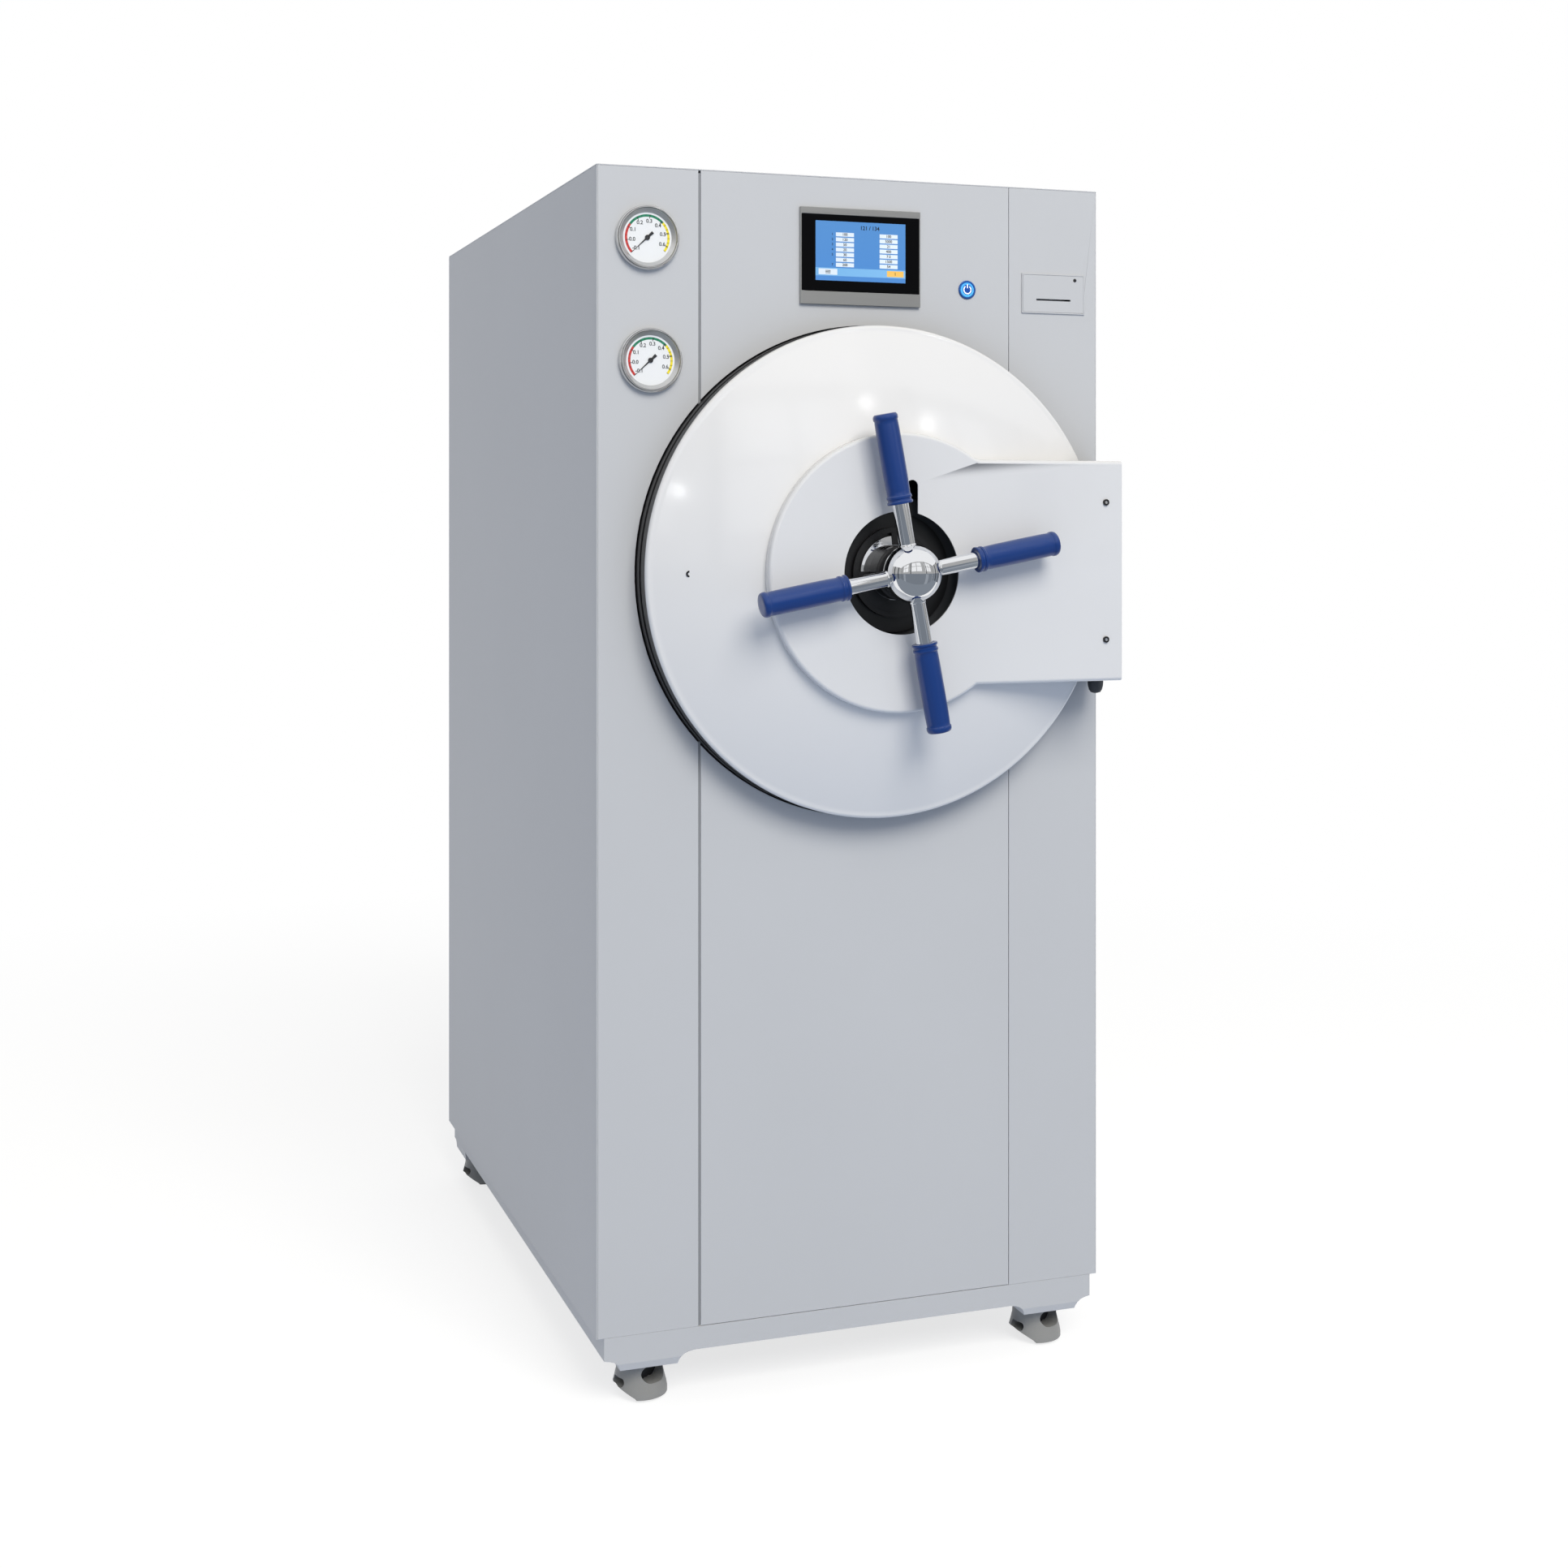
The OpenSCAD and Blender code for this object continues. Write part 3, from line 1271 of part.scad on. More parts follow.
module door_cover() {
    color("white") on_door() difference() {
        rotate_extrude($fn = 240) polygon(concat(dome_outline(0),
            [for (k = [len(dome_outline(0)) - 1:-1:0]) dome_outline(cover_t)[k]]));
        translate([0, -arm_cut_half, arm_back - 2 * cover_t])
            cube([arm_cut_x, 2 * arm_cut_half, dome_front - arm_back + 2 * cover_t + cut]);
        translate([screw_place, 0, rim_front]) cylinder(r = screw_r + fit, h = dome_rise, $fn = 32);
    }
}

// The arm that carries the door: a plate, its hub and two hinge lugs
arm_back = 62;
arm_t = 22;
arm_plate_half = 150;
hub_boss_r = 62;
arm_end = hinge_local - ear_r / 2;

module door_arm() {
    color("dimgray") on_door() difference() {
        union() {
            translate([0, 0, arm_back]) cylinder(r = arm_plate_half * 0.8, h = arm_t);
            translate([0, -arm_plate_half * 0.6, arm_back]) cube([arm_end, arm_plate_half * 1.2, arm_t]);
            translate([arm_end - tube_w, -lug_y - lug_t / 2, arm_back])
                cube([tube_w, 2 * lug_y + lug_t, arm_t]);
            translate([0, 0, rim_back + rim_t]) cylinder(r = hub_boss_r, h = boss_front - rim_back - rim_t);
            translate([0, 0, rim_back + rim_t]) cylinder(r = arm_plate_half * 0.6, h = rim_t * 2);
            for (side = [-1, 1]) translate([hinge_local, side * lug_y, 0]) {
                translate([-ear_r, -lug_t / 2, hinge_front])
                    cube([ear_r - cut, lug_t, arm_back + arm_t / 2 - hinge_front]);
                translate([0, -lug_t / 2, hinge_front]) rotate([-90, 0, 0])
                    cylinder(r = ear_r, h = lug_t, $fn = 64);
            }
        }
        translate([0, 0, rim_back]) cylinder(r = spindle_r + running_fit, h = boss_front, $fn = 64);
        for (side = [-1, 1]) translate([hinge_local, side * lug_y - lug_t, hinge_front]) rotate([-90, 0, 0])
            cylinder(r = pin_r + running_fit, h = 2 * lug_t, $fn = 48);
    }
}

// Arm cover: a round shell running into a straight one, with a fairing between them at the top
fairing_r = 36;
edge_r = 6;
edge_steps = 8;
cover_wall = 2.5;
cover_low = 64;
cover_gap = 1.2;
slot_x = 17;
slot_half_w = 9.5;
slot_top = 143;
screw_rows = 109;
cap_screw_x = 350;
fair_x = sqrt(pow(arm_r + fairing_r, 2) - pow(arm_half + fairing_r, 2));
fair_angle = atan2(arm_half + fairing_r, fair_x);
fair_trim = 3;

// The rounded shoulder from the wall, reach away from the middle, up to the face
function shoulder_points(reach, face, r, side) = [for (k = [0:edge_steps])
    [side * (reach - r + r * cos(90 * k / edge_steps)), face - r + r * sin(90 * k / edge_steps)]];

module arm_solid(inset, low) {
    face = arm_face - inset;
    r = edge_r - inset;
    half = arm_half - inset;
    down = shoulder_points(half, face, r, 1);
    concave = fairing_r + inset;
    rotate_extrude($fn = 180) polygon(concat([[0, low], [arm_r - inset, low]],
        shoulder_points(arm_r - inset, face, r, 1), [[0, face]]));
    rotate([90, 0, 90]) linear_extrude(arm_right - inset) polygon(concat([[-half, low]],
        shoulder_points(half, face, r, -1), [for (k = [edge_steps:-1:0]) down[k]], [[half, low]]));
    translate([fair_x, arm_half + fairing_r, 0]) rotate([0, 0, 180 + fair_angle + fair_trim])
        rotate_extrude(angle = 90 - fair_angle - 2 * fair_trim, $fn = 96) polygon(concat([[concave, low]],
            [for (k = [0:edge_steps]) [concave + r - r * cos(90 * k / edge_steps),
                face - r + r * sin(90 * k / edge_steps)]],
            [[2 * fairing_r, face], [2 * fairing_r, low]]));
}

module arm_cover() {
    color("lavender") on_door() difference() {
        arm_solid(0, cover_low);
        arm_solid(cover_wall, cover_low - cut);
        dome_solid(cover_gap);
        translate([0, 0, cover_low]) cylinder(r = window_r, h = arm_face, $fn = 128);
        translate([slot_x - slot_half_w, 0, cover_low])
            cube([2 * slot_half_w, slot_top - slot_half_w, arm_face]);
        translate([slot_x, slot_top - slot_half_w, cover_low])
            cylinder(r = slot_half_w, h = arm_face, $fn = 48);
        for (side = [-1, 1]) translate([cap_screw_x, side * screw_rows, arm_face - 2 * cover_wall])
            cylinder(r = shank_r + fit, h = 3 * cover_wall, $fn = 24);
    }
}

// Screws: two on the arm cover and one on the dome
screw_r = 5;
screw_t = 3;
shank_r = 3;
screw_inset = 62;
screw_place = -cover_r + screw_inset;

module screw_head() {
    difference() {
        cylinder(r = screw_r, h = screw_t, $fn = 48);
        translate([0, 0, screw_t / 2]) cylinder(r = screw_r / 2, h = screw_t, $fn = 6);
    }
}

module cover_screws() {
    color("silver") on_door() {
        for (side = [-1, 1]) translate([cap_screw_x, side * screw_rows, 0]) {
            translate([0, 0, arm_face]) screw_head();
            translate([0, 0, arm_back + arm_t])
                cylinder(r = shank_r, h = arm_face - arm_back - arm_t + cut, $fn = 24);
        }
        translate([screw_place, 0, dome_height(-screw_place) - screw_t]) {
            screw_head();
            translate([0, 0, rim_back + rim_t - dome_height(-screw_place) + screw_t]) cylinder(r = shank_r,
                h = dome_height(-screw_place) - screw_t - rim_back - rim_t + cut, $fn = 24);
        }
    }
}

// Hub casting behind the window, with the guide of the interlock latch
casting_r = 93;
lip_in = 62;
lip_out = 70;
lip_h = 8;
guide_top = 140;
guide_half = 11;
guide_step = 4;
guard_t = 1;
guard_turns = [96, 137, 178];

module hub_casting() {
    color([0.09, 0.09, 0.1]) on_door() difference() {
        union() {
            translate([0, 0, boss_front]) cylinder(r = casting_r, h = casting_t);
            translate([0, 0, boss_front]) cylinder(r = lip_out, h = casting_t + lip_h);
            translate([slot_x - guide_half, lip_in, boss_front])
                cube([2 * guide_half, guide_top - lip_in, casting_t + lip_h - guide_step]);
        }
        translate([0, 0, boss_front + casting_t]) cylinder(r = lip_in, h = 2 * lip_h, $fn = 96);
        translate([0, 0, boss_front - cut])
            cylinder(r = spindle_r + fit, h = casting_t + 2 * cut, $fn = 64);
    }
    color([0.09, 0.09, 0.1]) on_door() translate([0, 0, latch_back - 2 * fit - guard_t]) difference() {
        cylinder(r = lip_in + cut, h = guard_t);
        translate([0, 0, -cut]) cylinder(r = collar_hub_r + 2 * fit, h = guard_t + 2 * cut);
        translate([0, 0, -cut]) linear_extrude(guard_t + 2 * cut)
            polygon(concat([[0, 0]], [for (a = guard_turns) 2 * lip_in * [cos(a), sin(a)]]));
    }
}

// Interlock latch: a bar that drops into a notch of the hub collar
latch_half = 6;
latch_low = 46;
latch_high = 128;
latch_back = boss_front + casting_t + lip_h + fit;
latch_t = 9;
latch_travel = 14;
latch_screw_r = 3;

module interlock_latch() {
    color([0.13, 0.13, 0.14]) on_door() {
        translate([slot_x - latch_half, latch_low, latch_back])
            cube([2 * latch_half, latch_high - latch_low - latch_half, latch_t]);
        translate([slot_x, latch_high - latch_half, latch_back])
            cylinder(r = latch_half, h = latch_t, $fn = 32);
        translate([slot_x, latch_high - 2 * latch_half, latch_back + latch_t - cut])
            cylinder(r = latch_screw_r, h = latch_screw_r + cut, $fn = 24);
    }
}

// Hub collar on the spindle, notched for the latch at both ends of the handwheel's turn
collar_hub_r = 42;
collar_back = shoulder_back + shoulder_t;
collar_front = ball_front - ball_r * 0.86;
collar_len = collar_front - collar_back;

module hub_collar() {
    color([0.1, 0.1, 0.11]) on_door() difference() {
        translate([0, 0, collar_back]) rotate_extrude($fn = 96) polygon([[spindle_r, 0], [collar_hub_r, 0],
            [collar_hub_r, collar_len - nose], [collar_hub_r - nose, collar_len], [spindle_r, collar_len]]);
        for (a = [0, lock_angle]) rotate([0, 0, a]) translate([slot_x - latch_half - 2 * fit,
            latch_low - latch_travel - 3 * fit, latch_back - 4 * fit])
            cube([2 * latch_half + 4 * fit, collar_hub_r, latch_t + 8 * fit]);
    }
}

// Handwheel: the ball with four rods, and a grip on each rod
module spokes() {
    for (i = [0:3]) rotate([0, 0, wheel_angle + 90 * i]) rotate([0, 90, 0]) children();
}

module handwheel_spider() {
    color("silver") on_door() translate([0, 0, ball_front]) {
        difference() {
            sphere(r = ball_r, $fn = 96);
            translate([0, 0, -2 * ball_r]) cylinder(r = spindle_r, h = 2 * ball_r - ball_r * 0.8, $fn = 64);
            translate([0, 0, collar_front - ball_front]) mirror([0, 0, 1])
                cylinder(r = 2 * ball_r, h = 2 * ball_r);
        }
        spokes() cylinder(r = rod_r, h = grip_out - grip_r, $fn = 48);
    }
}

// The grip's outline as shares of its radius, from its inner end and from its outer end
grip_shares = [[1.08, 0], [1.08, 0.16], [0.94, 0.2], [0.94, 0.36], [1.06, 0.4], [1.06, 0.56],
    [0.94, 0.62], [1, 1.2]];
grip_end_shares = [[1, 0.9], [0.95, 0.6], [1.04, 0.5], [1.04, 0.2], [0.9, 0]];

module grip() {
    difference() {
        rotate_extrude($fn = 64) polygon(concat([[0, grip_in]],
            [for (s = grip_shares) [grip_r * s[0], grip_in + grip_r * s[1]]],
            [for (s = grip_end_shares) [grip_r * s[0], grip_out - grip_r * s[1]]], [[0, grip_out]]));
        cylinder(r = rod_r, h = grip_out - grip_r, $fn = 48);
    }
}

module handwheel_grips() {
    color("mediumblue") on_door() translate([0, 0, ball_front]) spokes() grip();
}

placed() base_frame();
placed() plinth();
placed() left_side_panel();
placed() right_side_panel();
placed() top_panel();
placed() rear_panel();
placed() front_left_column();
placed() front_upper_panel();
placed() front_lower_panel();
placed() front_right_column();
placed() chamber_shell();
placed() steam_jacket();
placed() flange_ring();
placed() door_gasket();
placed() steam_generator();
placed() pump_set();
placed() valve_group();
placed() pipework();
placed() control_box();
placed() gauge_cases();
placed() gauge_dials();
placed() gauge_glasses();
placed() touch_frame();
placed() touch_glass();
placed() power_button_ring();
placed() printer_housing();
placed() hinge_brackets();
placed() loading_rack();
placed() upper_gauge_needle();
placed() lower_gauge_needle();
placed() power_button();
placed() printer_cover();
placed() printer_feed_button();
placed() paper_roll();
placed() front_left_hood();
placed() front_right_hood();
placed() rear_left_hood();
placed() rear_right_hood();
placed() front_left_wheel();
placed() front_right_wheel();
placed() rear_left_wheel();
placed() rear_right_wheel();
placed() door_plate();
placed() door_frame();
placed() door_cover();
placed() door_arm();
placed() arm_cover();
placed() cover_screws();
placed() hub_casting();
placed() interlock_latch();
placed() scroll_spindle();
placed() hub_collar();
placed() handwheel_spider();
placed() handwheel_grips();
placed() lock_bolt_1();
placed() lock_bolt_2();
placed() lock_bolt_3();
placed() lock_bolt_4();
placed() lock_bolt_5();
placed() lock_bolt_6();
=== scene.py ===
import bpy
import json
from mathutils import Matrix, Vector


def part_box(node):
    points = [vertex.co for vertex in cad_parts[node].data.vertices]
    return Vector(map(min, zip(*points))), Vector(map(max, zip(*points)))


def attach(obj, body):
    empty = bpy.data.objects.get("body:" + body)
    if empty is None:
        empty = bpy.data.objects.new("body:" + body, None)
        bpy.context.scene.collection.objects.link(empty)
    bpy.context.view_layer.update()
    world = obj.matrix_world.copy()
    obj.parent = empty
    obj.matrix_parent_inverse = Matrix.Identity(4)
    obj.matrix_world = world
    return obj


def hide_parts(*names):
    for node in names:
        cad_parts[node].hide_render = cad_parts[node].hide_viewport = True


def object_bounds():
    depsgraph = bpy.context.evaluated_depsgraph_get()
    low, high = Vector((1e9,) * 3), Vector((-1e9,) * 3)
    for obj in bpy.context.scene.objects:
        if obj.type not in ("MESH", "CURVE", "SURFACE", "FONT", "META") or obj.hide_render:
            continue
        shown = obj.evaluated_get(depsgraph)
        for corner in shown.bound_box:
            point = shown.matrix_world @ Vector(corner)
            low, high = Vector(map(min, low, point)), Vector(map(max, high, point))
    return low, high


bl_info = {
    "name": "Horizontal autoclave",
    "version": (1, 0, 0),
    "blender": (4, 5, 0),
    "location": "View3D > Sidebar > Autoclave",
    "description": "Dresses the packed autoclave with its paints, metals, dials, screen and small fittings",
    "category": "Object",
}

import json
import math

import bmesh
import bpy
from bpy.props import FloatProperty, FloatVectorProperty, IntProperty, PointerProperty
from mathutils import Euler, Matrix, Vector

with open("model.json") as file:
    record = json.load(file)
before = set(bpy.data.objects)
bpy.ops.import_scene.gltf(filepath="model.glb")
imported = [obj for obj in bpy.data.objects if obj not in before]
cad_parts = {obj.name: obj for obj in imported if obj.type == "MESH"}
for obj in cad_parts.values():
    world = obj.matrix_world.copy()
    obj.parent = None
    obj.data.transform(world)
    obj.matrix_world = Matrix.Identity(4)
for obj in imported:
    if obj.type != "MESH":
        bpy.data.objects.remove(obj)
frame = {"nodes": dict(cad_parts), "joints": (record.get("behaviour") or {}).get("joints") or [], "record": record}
CAD_BOX = [list(corner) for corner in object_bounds()]
NODES = frame["nodes"]
RECORD = frame["record"]
BODY_OF = {n: body for body, nodes in RECORD["behaviour"]["bodies"].items() for n in nodes}
JOINTS = {j["name"]: j for j in frame["joints"]}
MM = 0.001
# Points closer than this are one point
WELD = 0.00001
# Height of the fine grain in every finish
GRAIN_HEIGHT = 0.0004
HERE = Matrix.Identity(4)
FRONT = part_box("front_left_column")[0].y
FINISH = {}


def middle(node):
    """The middle of a CAD node's box."""
    low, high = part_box(node)
    return (low + high) / 2


DOOR_X, DOOR_Z = middle("door_frame").x, middle("door_frame").z


def on_face(x, z):
    """Frame of the cabinet's front: x right, y up, z forward, from a place on the front face."""
    return Matrix(((1, 0, 0, x), (0, 0, -1, FRONT), (0, 1, 0, z), (0, 0, 0, 1)))


def on_door():
    """The same frame with its origin at the middle of the door."""
    return on_face(DOOR_X, DOOR_Z)


# Finishes


def put(nodes, kind, inputs=None, **settings):
    """Adds one node, with its settings, its values and the sockets that feed it."""
    node = nodes.new(kind)
    for key, value in settings.items():
        setattr(node, key, value)
    for key, value in (inputs or {}).items():
        if isinstance(value, bpy.types.NodeSocket):
            node.id_data.links.new(value, node.inputs[key])
        else:
            node.inputs[key].default_value = value
    return node


def emptied(owner):
    """The nodes of a material or a world, with none left in it."""
    owner.use_nodes = True
    owner.node_tree.nodes.clear()
    return owner.node_tree.nodes


def pattern(tree, scale, stretch=(1, 1, 1), detail=3.0):
    """Noise that lies on the piece itself, with scale in features to a metre."""
    place = put(tree.nodes, "ShaderNodeTexCoord").outputs["Object"]
    turned = put(tree.nodes, "ShaderNodeMapping", {"Vector": place, "Scale": stretch})
    noise = {"Vector": turned.outputs["Vector"], "Scale": scale, "Detail": detail}
    return put(tree.nodes, "ShaderNodeTexNoise", noise).outputs["Fac"]


def two_tones(tree, share, low, high, ends=(0.3, 0.7)):
    """A colour that runs from low to high while share runs between the ends."""
    ramp = put(tree.nodes, "ShaderNodeValToRGB", {"Fac": share})
    for stop, colour, position in zip(ramp.color_ramp.elements, (low, high), ends):
        stop.color = (*colour, 1)
        stop.position = position
    return ramp.outputs["Color"]


def between(tree, share, low, high):
    """A number between low and high, by share."""
    inputs = {"Value": share, "From Min": 0.3, "From Max": 0.7, "To Min": low, "To Max": high}
    return put(tree.nodes, "ShaderNodeMapRange", inputs).outputs["Result"]


def principled(name, values):
    """A new finish with its Principled node, and the values of that node's sockets."""
    material = bpy.data.materials.new(name)
    material.use_nodes = True
    skin = material.node_tree.nodes["Principled BSDF"]
    for key, value in values.items():
        skin.inputs[key].default_value = value
    FINISH[name] = material
    return material.node_tree, skin


def finish(
    name, colour, rough, metal=0.0, cloud=0.03, cloud_scale=5.0, grain=900.0, depth=0.08, stretch=(1, 1, 1),
    spread=0.05, clear=0.0, shine=0.5,
):
    """A paint, metal or plastic: clouded colour, uneven gloss and a fine grain."""
    values = {"Metallic": metal, "Specular IOR Level": shine, "Coat Weight": clear, "Coat Roughness": 0.06}
    tree, skin = principled(name, values)
    low = [c * (1 - cloud) for c in colour]
    high = [min(1, c * (1 + cloud)) for c in colour]
    tone = two_tones(tree, pattern(tree, cloud_scale), low, high)
    fine = pattern(tree, grain, stretch, 2.0)
    gloss = between(tree, fine, max(0.02, rough - spread), rough + spread)
    bump = put(tree.nodes, "ShaderNodeBump", {"Height": fine, "Strength": depth, "Distance": GRAIN_HEIGHT})
    tree.links.new(tone, skin.inputs["Base Color"])
    tree.links.new(gloss, skin.inputs["Roughness"])
    tree.links.new(bump.outputs["Normal"], skin.inputs["Normal"])


def lit(name, low, high, strength, axis, start, width, soft=0.3):
    """A lit display surface whose colour runs from low to high along one axis of the row frame."""
    tree, skin = principled(name, {"Roughness": soft, "Emission Strength": strength})
    place = put(tree.nodes, "ShaderNodeTexCoord").outputs["Object"]
    parts = put(tree.nodes, "ShaderNodeSeparateXYZ", {"Vector": place})
    inputs = {"Value": parts.outputs[axis], "From Min": start, "From Max": start + width}
    share = put(tree.nodes, "ShaderNodeMapRange", inputs).outputs["Result"]
    tone = two_tones(tree, share, low, high, (0.0, 1.0))
    tree.links.new(tone, skin.inputs["Base Color"])
    tree.links.new(tone, skin.inputs["Emission Color"])


def clear_glass(name, tint, alpha):
    """A pane that shows little but its reflections."""
    tree, skin = principled(name, {"Base Color": (*tint, 1), "Alpha": alpha})
    tree.links.new(between(tree, pattern(tree, 60.0), 0.02, 0.05), skin.inputs["Roughness"])


def unseen_lighting(nodes, light, shown):
    """One shader for the light that falls on the part and another for what the camera and the gloss see."""
    path = put(nodes, "ShaderNodeLightPath").outputs
    seen = put(nodes, "ShaderNodeMath", {0: path["Is Camera Ray"], 1: path["Is Glossy Ray"]}, operation="MAXIMUM")
    seen = put(nodes, "ShaderNodeMath", {0: seen.outputs[0], 1: path["Is Transmission Ray"]}, operation="MAXIMUM")
    return put(nodes, "ShaderNodeMixShader", {0: seen.outputs[0], 1: light.outputs[0], 2: shown.outputs[0]}).outputs[0]


# Meshes


def linked(name, data):
    """A new object in the scene."""
    made = bpy.data.objects.new(name, data)
    bpy.context.scene.collection.objects.link(made)
    return made


def as_mesh(work, name):
    """Turns a bmesh into a mesh and frees it."""
    mesh = bpy.data.meshes.new(name)
    work.to_mesh(mesh)
    work.free()
    return mesh


def pour(mesh, work):
    """Adds a mesh to a bmesh and removes it."""
    work.from_mesh(mesh)
    bpy.data.meshes.remove(mesh)
    return work


def evaluated(holder):
    """A plain mesh of what an object's curve or node tree makes."""
    return bpy.data.meshes.new_from_object(holder.evaluated_get(bpy.context.evaluated_depsgraph_get()))


def pattern_piece(work, name):
    """A loose object that a node tree copies."""
    bmesh.ops.recalc_face_normals(work, faces=work.faces)
    return linked(name, as_mesh(work, name))


def mm(points):
    """Pairs of millimetres in metres."""
    return [(a * MM, b * MM) for a, b in points]


def finished(mesh, name, material, node, angle=35.0, bevel=0.0, steps=2, extra=False, slot_node=None):
    """Makes a mesh into a piece: smooth, edged, painted, riding with a CAD node and standing for it unless extra."""
    piece = linked(name, mesh)
    if not mesh.materials:
        for label in [material] if isinstance(material, str) else material:
            mesh.materials.append(FINISH[label])
    mesh.shade_smooth()
    if bevel:
        edge = piece.modifiers.new("Edges", "BEVEL")
        edge.width = bevel
        edge.segments = steps
        edge.limit_method = "ANGLE"
        edge.angle_limit = math.radians(angle)
        edge.miter_outer = "MITER_ARC"
        piece.modifiers.new("Normals", "WEIGHTED_NORMAL").keep_sharp = True
    else:
        mesh.set_sharp_from_angle(angle=math.radians(angle))
    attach(piece, BODY_OF[node])
    if not extra:
        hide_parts(node)


def dressed(node, material, bevel=0.0, steps=2, angle=35.0, paint=None):
    """A CAD node's own shape with joined faces, rounded edges and its finish.
    paint(face) may give a face the number of another finish in the list."""
    work = bmesh.new()
    work.from_mesh(NODES[node].data)
    bmesh.ops.remove_doubles(work, verts=work.verts, dist=WELD)
    bmesh.ops.dissolve_limit(
        work, angle_limit=math.radians(0.4), verts=work.verts, edges=work.edges, use_dissolve_boundaries=False
    )
    for face in work.faces:
        face.material_index = paint(face) if paint else 0
    mesh = as_mesh(work, node + "_finished")
    for label in ("custom_normal", "sharp_face", "sharp_edge", "UVMap"):
        if label in mesh.attributes:
            mesh.attributes.remove(mesh.attributes[label])
    finished(mesh, node + "_finished", material, node, angle, bevel, steps)


def settled(work, name, place, material, node, angle=35.0, **more):
    """Turns work in the bench frame into a finished piece at its place."""
    bmesh.ops.recalc_face_normals(work, faces=work.faces)
    work.transform(place)
    finished(as_mesh(work, name), name, material, node, angle, **more)


def lathe(work, outline, steps=96, at=HERE, number=0, closed=False):
    """Turns an outline of (radius, height) points round the z axis; a zero radius is a pole."""
    rings = []
    for radius, height in outline:
        if radius < 1e-7:
            rings.append([work.verts.new(at @ Vector((0, 0, height)))])
            continue
        ring = []
        for k in range(steps):
            a = 2 * math.pi * k / steps
            ring.append(work.verts.new(at @ Vector((radius * math.cos(a), radius * math.sin(a), height))))
        rings.append(ring)
    pairs = list(zip(rings, rings[1:])) + ([(rings[-1], rings[0])] if closed else [])
    for low, high in pairs:
        for k in range(steps):
            j = (k + 1) % steps
            corners = [low[k % len(low)], low[j % len(low)], high[j % len(high)], high[k % len(high)]]
            corners = list(dict.fromkeys(corners))
            if len(corners) > 2:
                work.faces.new(corners).material_index = number
    return work


def block(work, low, high, at=HERE, number=0, round_by=0.0, steps=3):
    """A box between two corners, its upright edges rounded if round_by is given."""
    low, high = Vector(low), Vector(high)
    before = set(work.verts)
    made = bmesh.ops.create_cube(work, size=1.0)["verts"]
    for v in made:
        v.co = Vector([(low[i] + high[i]) / 2 + v.co[i] * (high[i] - low[i]) for i in range(3)])
    if round_by:
        upright = [
            e
            for e in {e for v in made for e in v.link_edges}
            if abs((e.verts[0].co - e.verts[1].co).normalized().z) > 0.9
        ]
        bmesh.ops.bevel(work, geom=upright, offset=round_by, segments=steps, affect="EDGES", profile=0.5)
    fresh = [v for v in work.verts if v not in before]
    for v in fresh:
        v.co = at @ v.co
    for face in {f for v in fresh for f in v.link_faces}:
        face.material_index = number


def bridge(work, rows, number=0):
    """Joins closed rows of vertices into a tube and caps its ends."""
    for a, b in zip(rows, rows[1:]):
        for i in range(len(a)):
            j = (i + 1) % len(a)
            work.faces.new((a[i], a[j], b[j], b[i])).material_index = number
    for end in (rows[0], rows[-1]):
        work.faces.new(end).material_index = number


def sector(work, inner, outer, start, end, low, high, number=0, steps=48):
    """A flat ring piece between two angles, clockwise from the top, in degrees."""
    corners = ((inner, low), (outer, low), (outer, high), (inner, high))
    rows = []
    for k in range(steps + 1):
        a = math.radians(start + (end - start) * k / steps)
        rows.append([work.verts.new((r * math.sin(a), r * math.cos(a), h)) for r, h in corners])
    bridge(work, rows, number)


def figures(work, words, size, centre, number=0, thick=0.00004, weight=0.0):
    """Adds flat figures, centred on a place in the bench frame."""
    curve = bpy.data.curves.new("figures", "FONT")
    curve.body = words
    curve.size = size
    curve.extrude = thick
    curve.offset = weight * size
    curve.align_x = "CENTER"
    curve.align_y = "CENTER"
    holder = linked("figures", curve)
    shape = evaluated(holder)
    shape.transform(Matrix.Translation(centre))
    before = set(work.faces)
    pour(shape, work)
    for face in work.faces:
        if face not in before:
            face.material_index = number
    bpy.data.objects.remove(holder)
    bpy.data.curves.remove(curve)


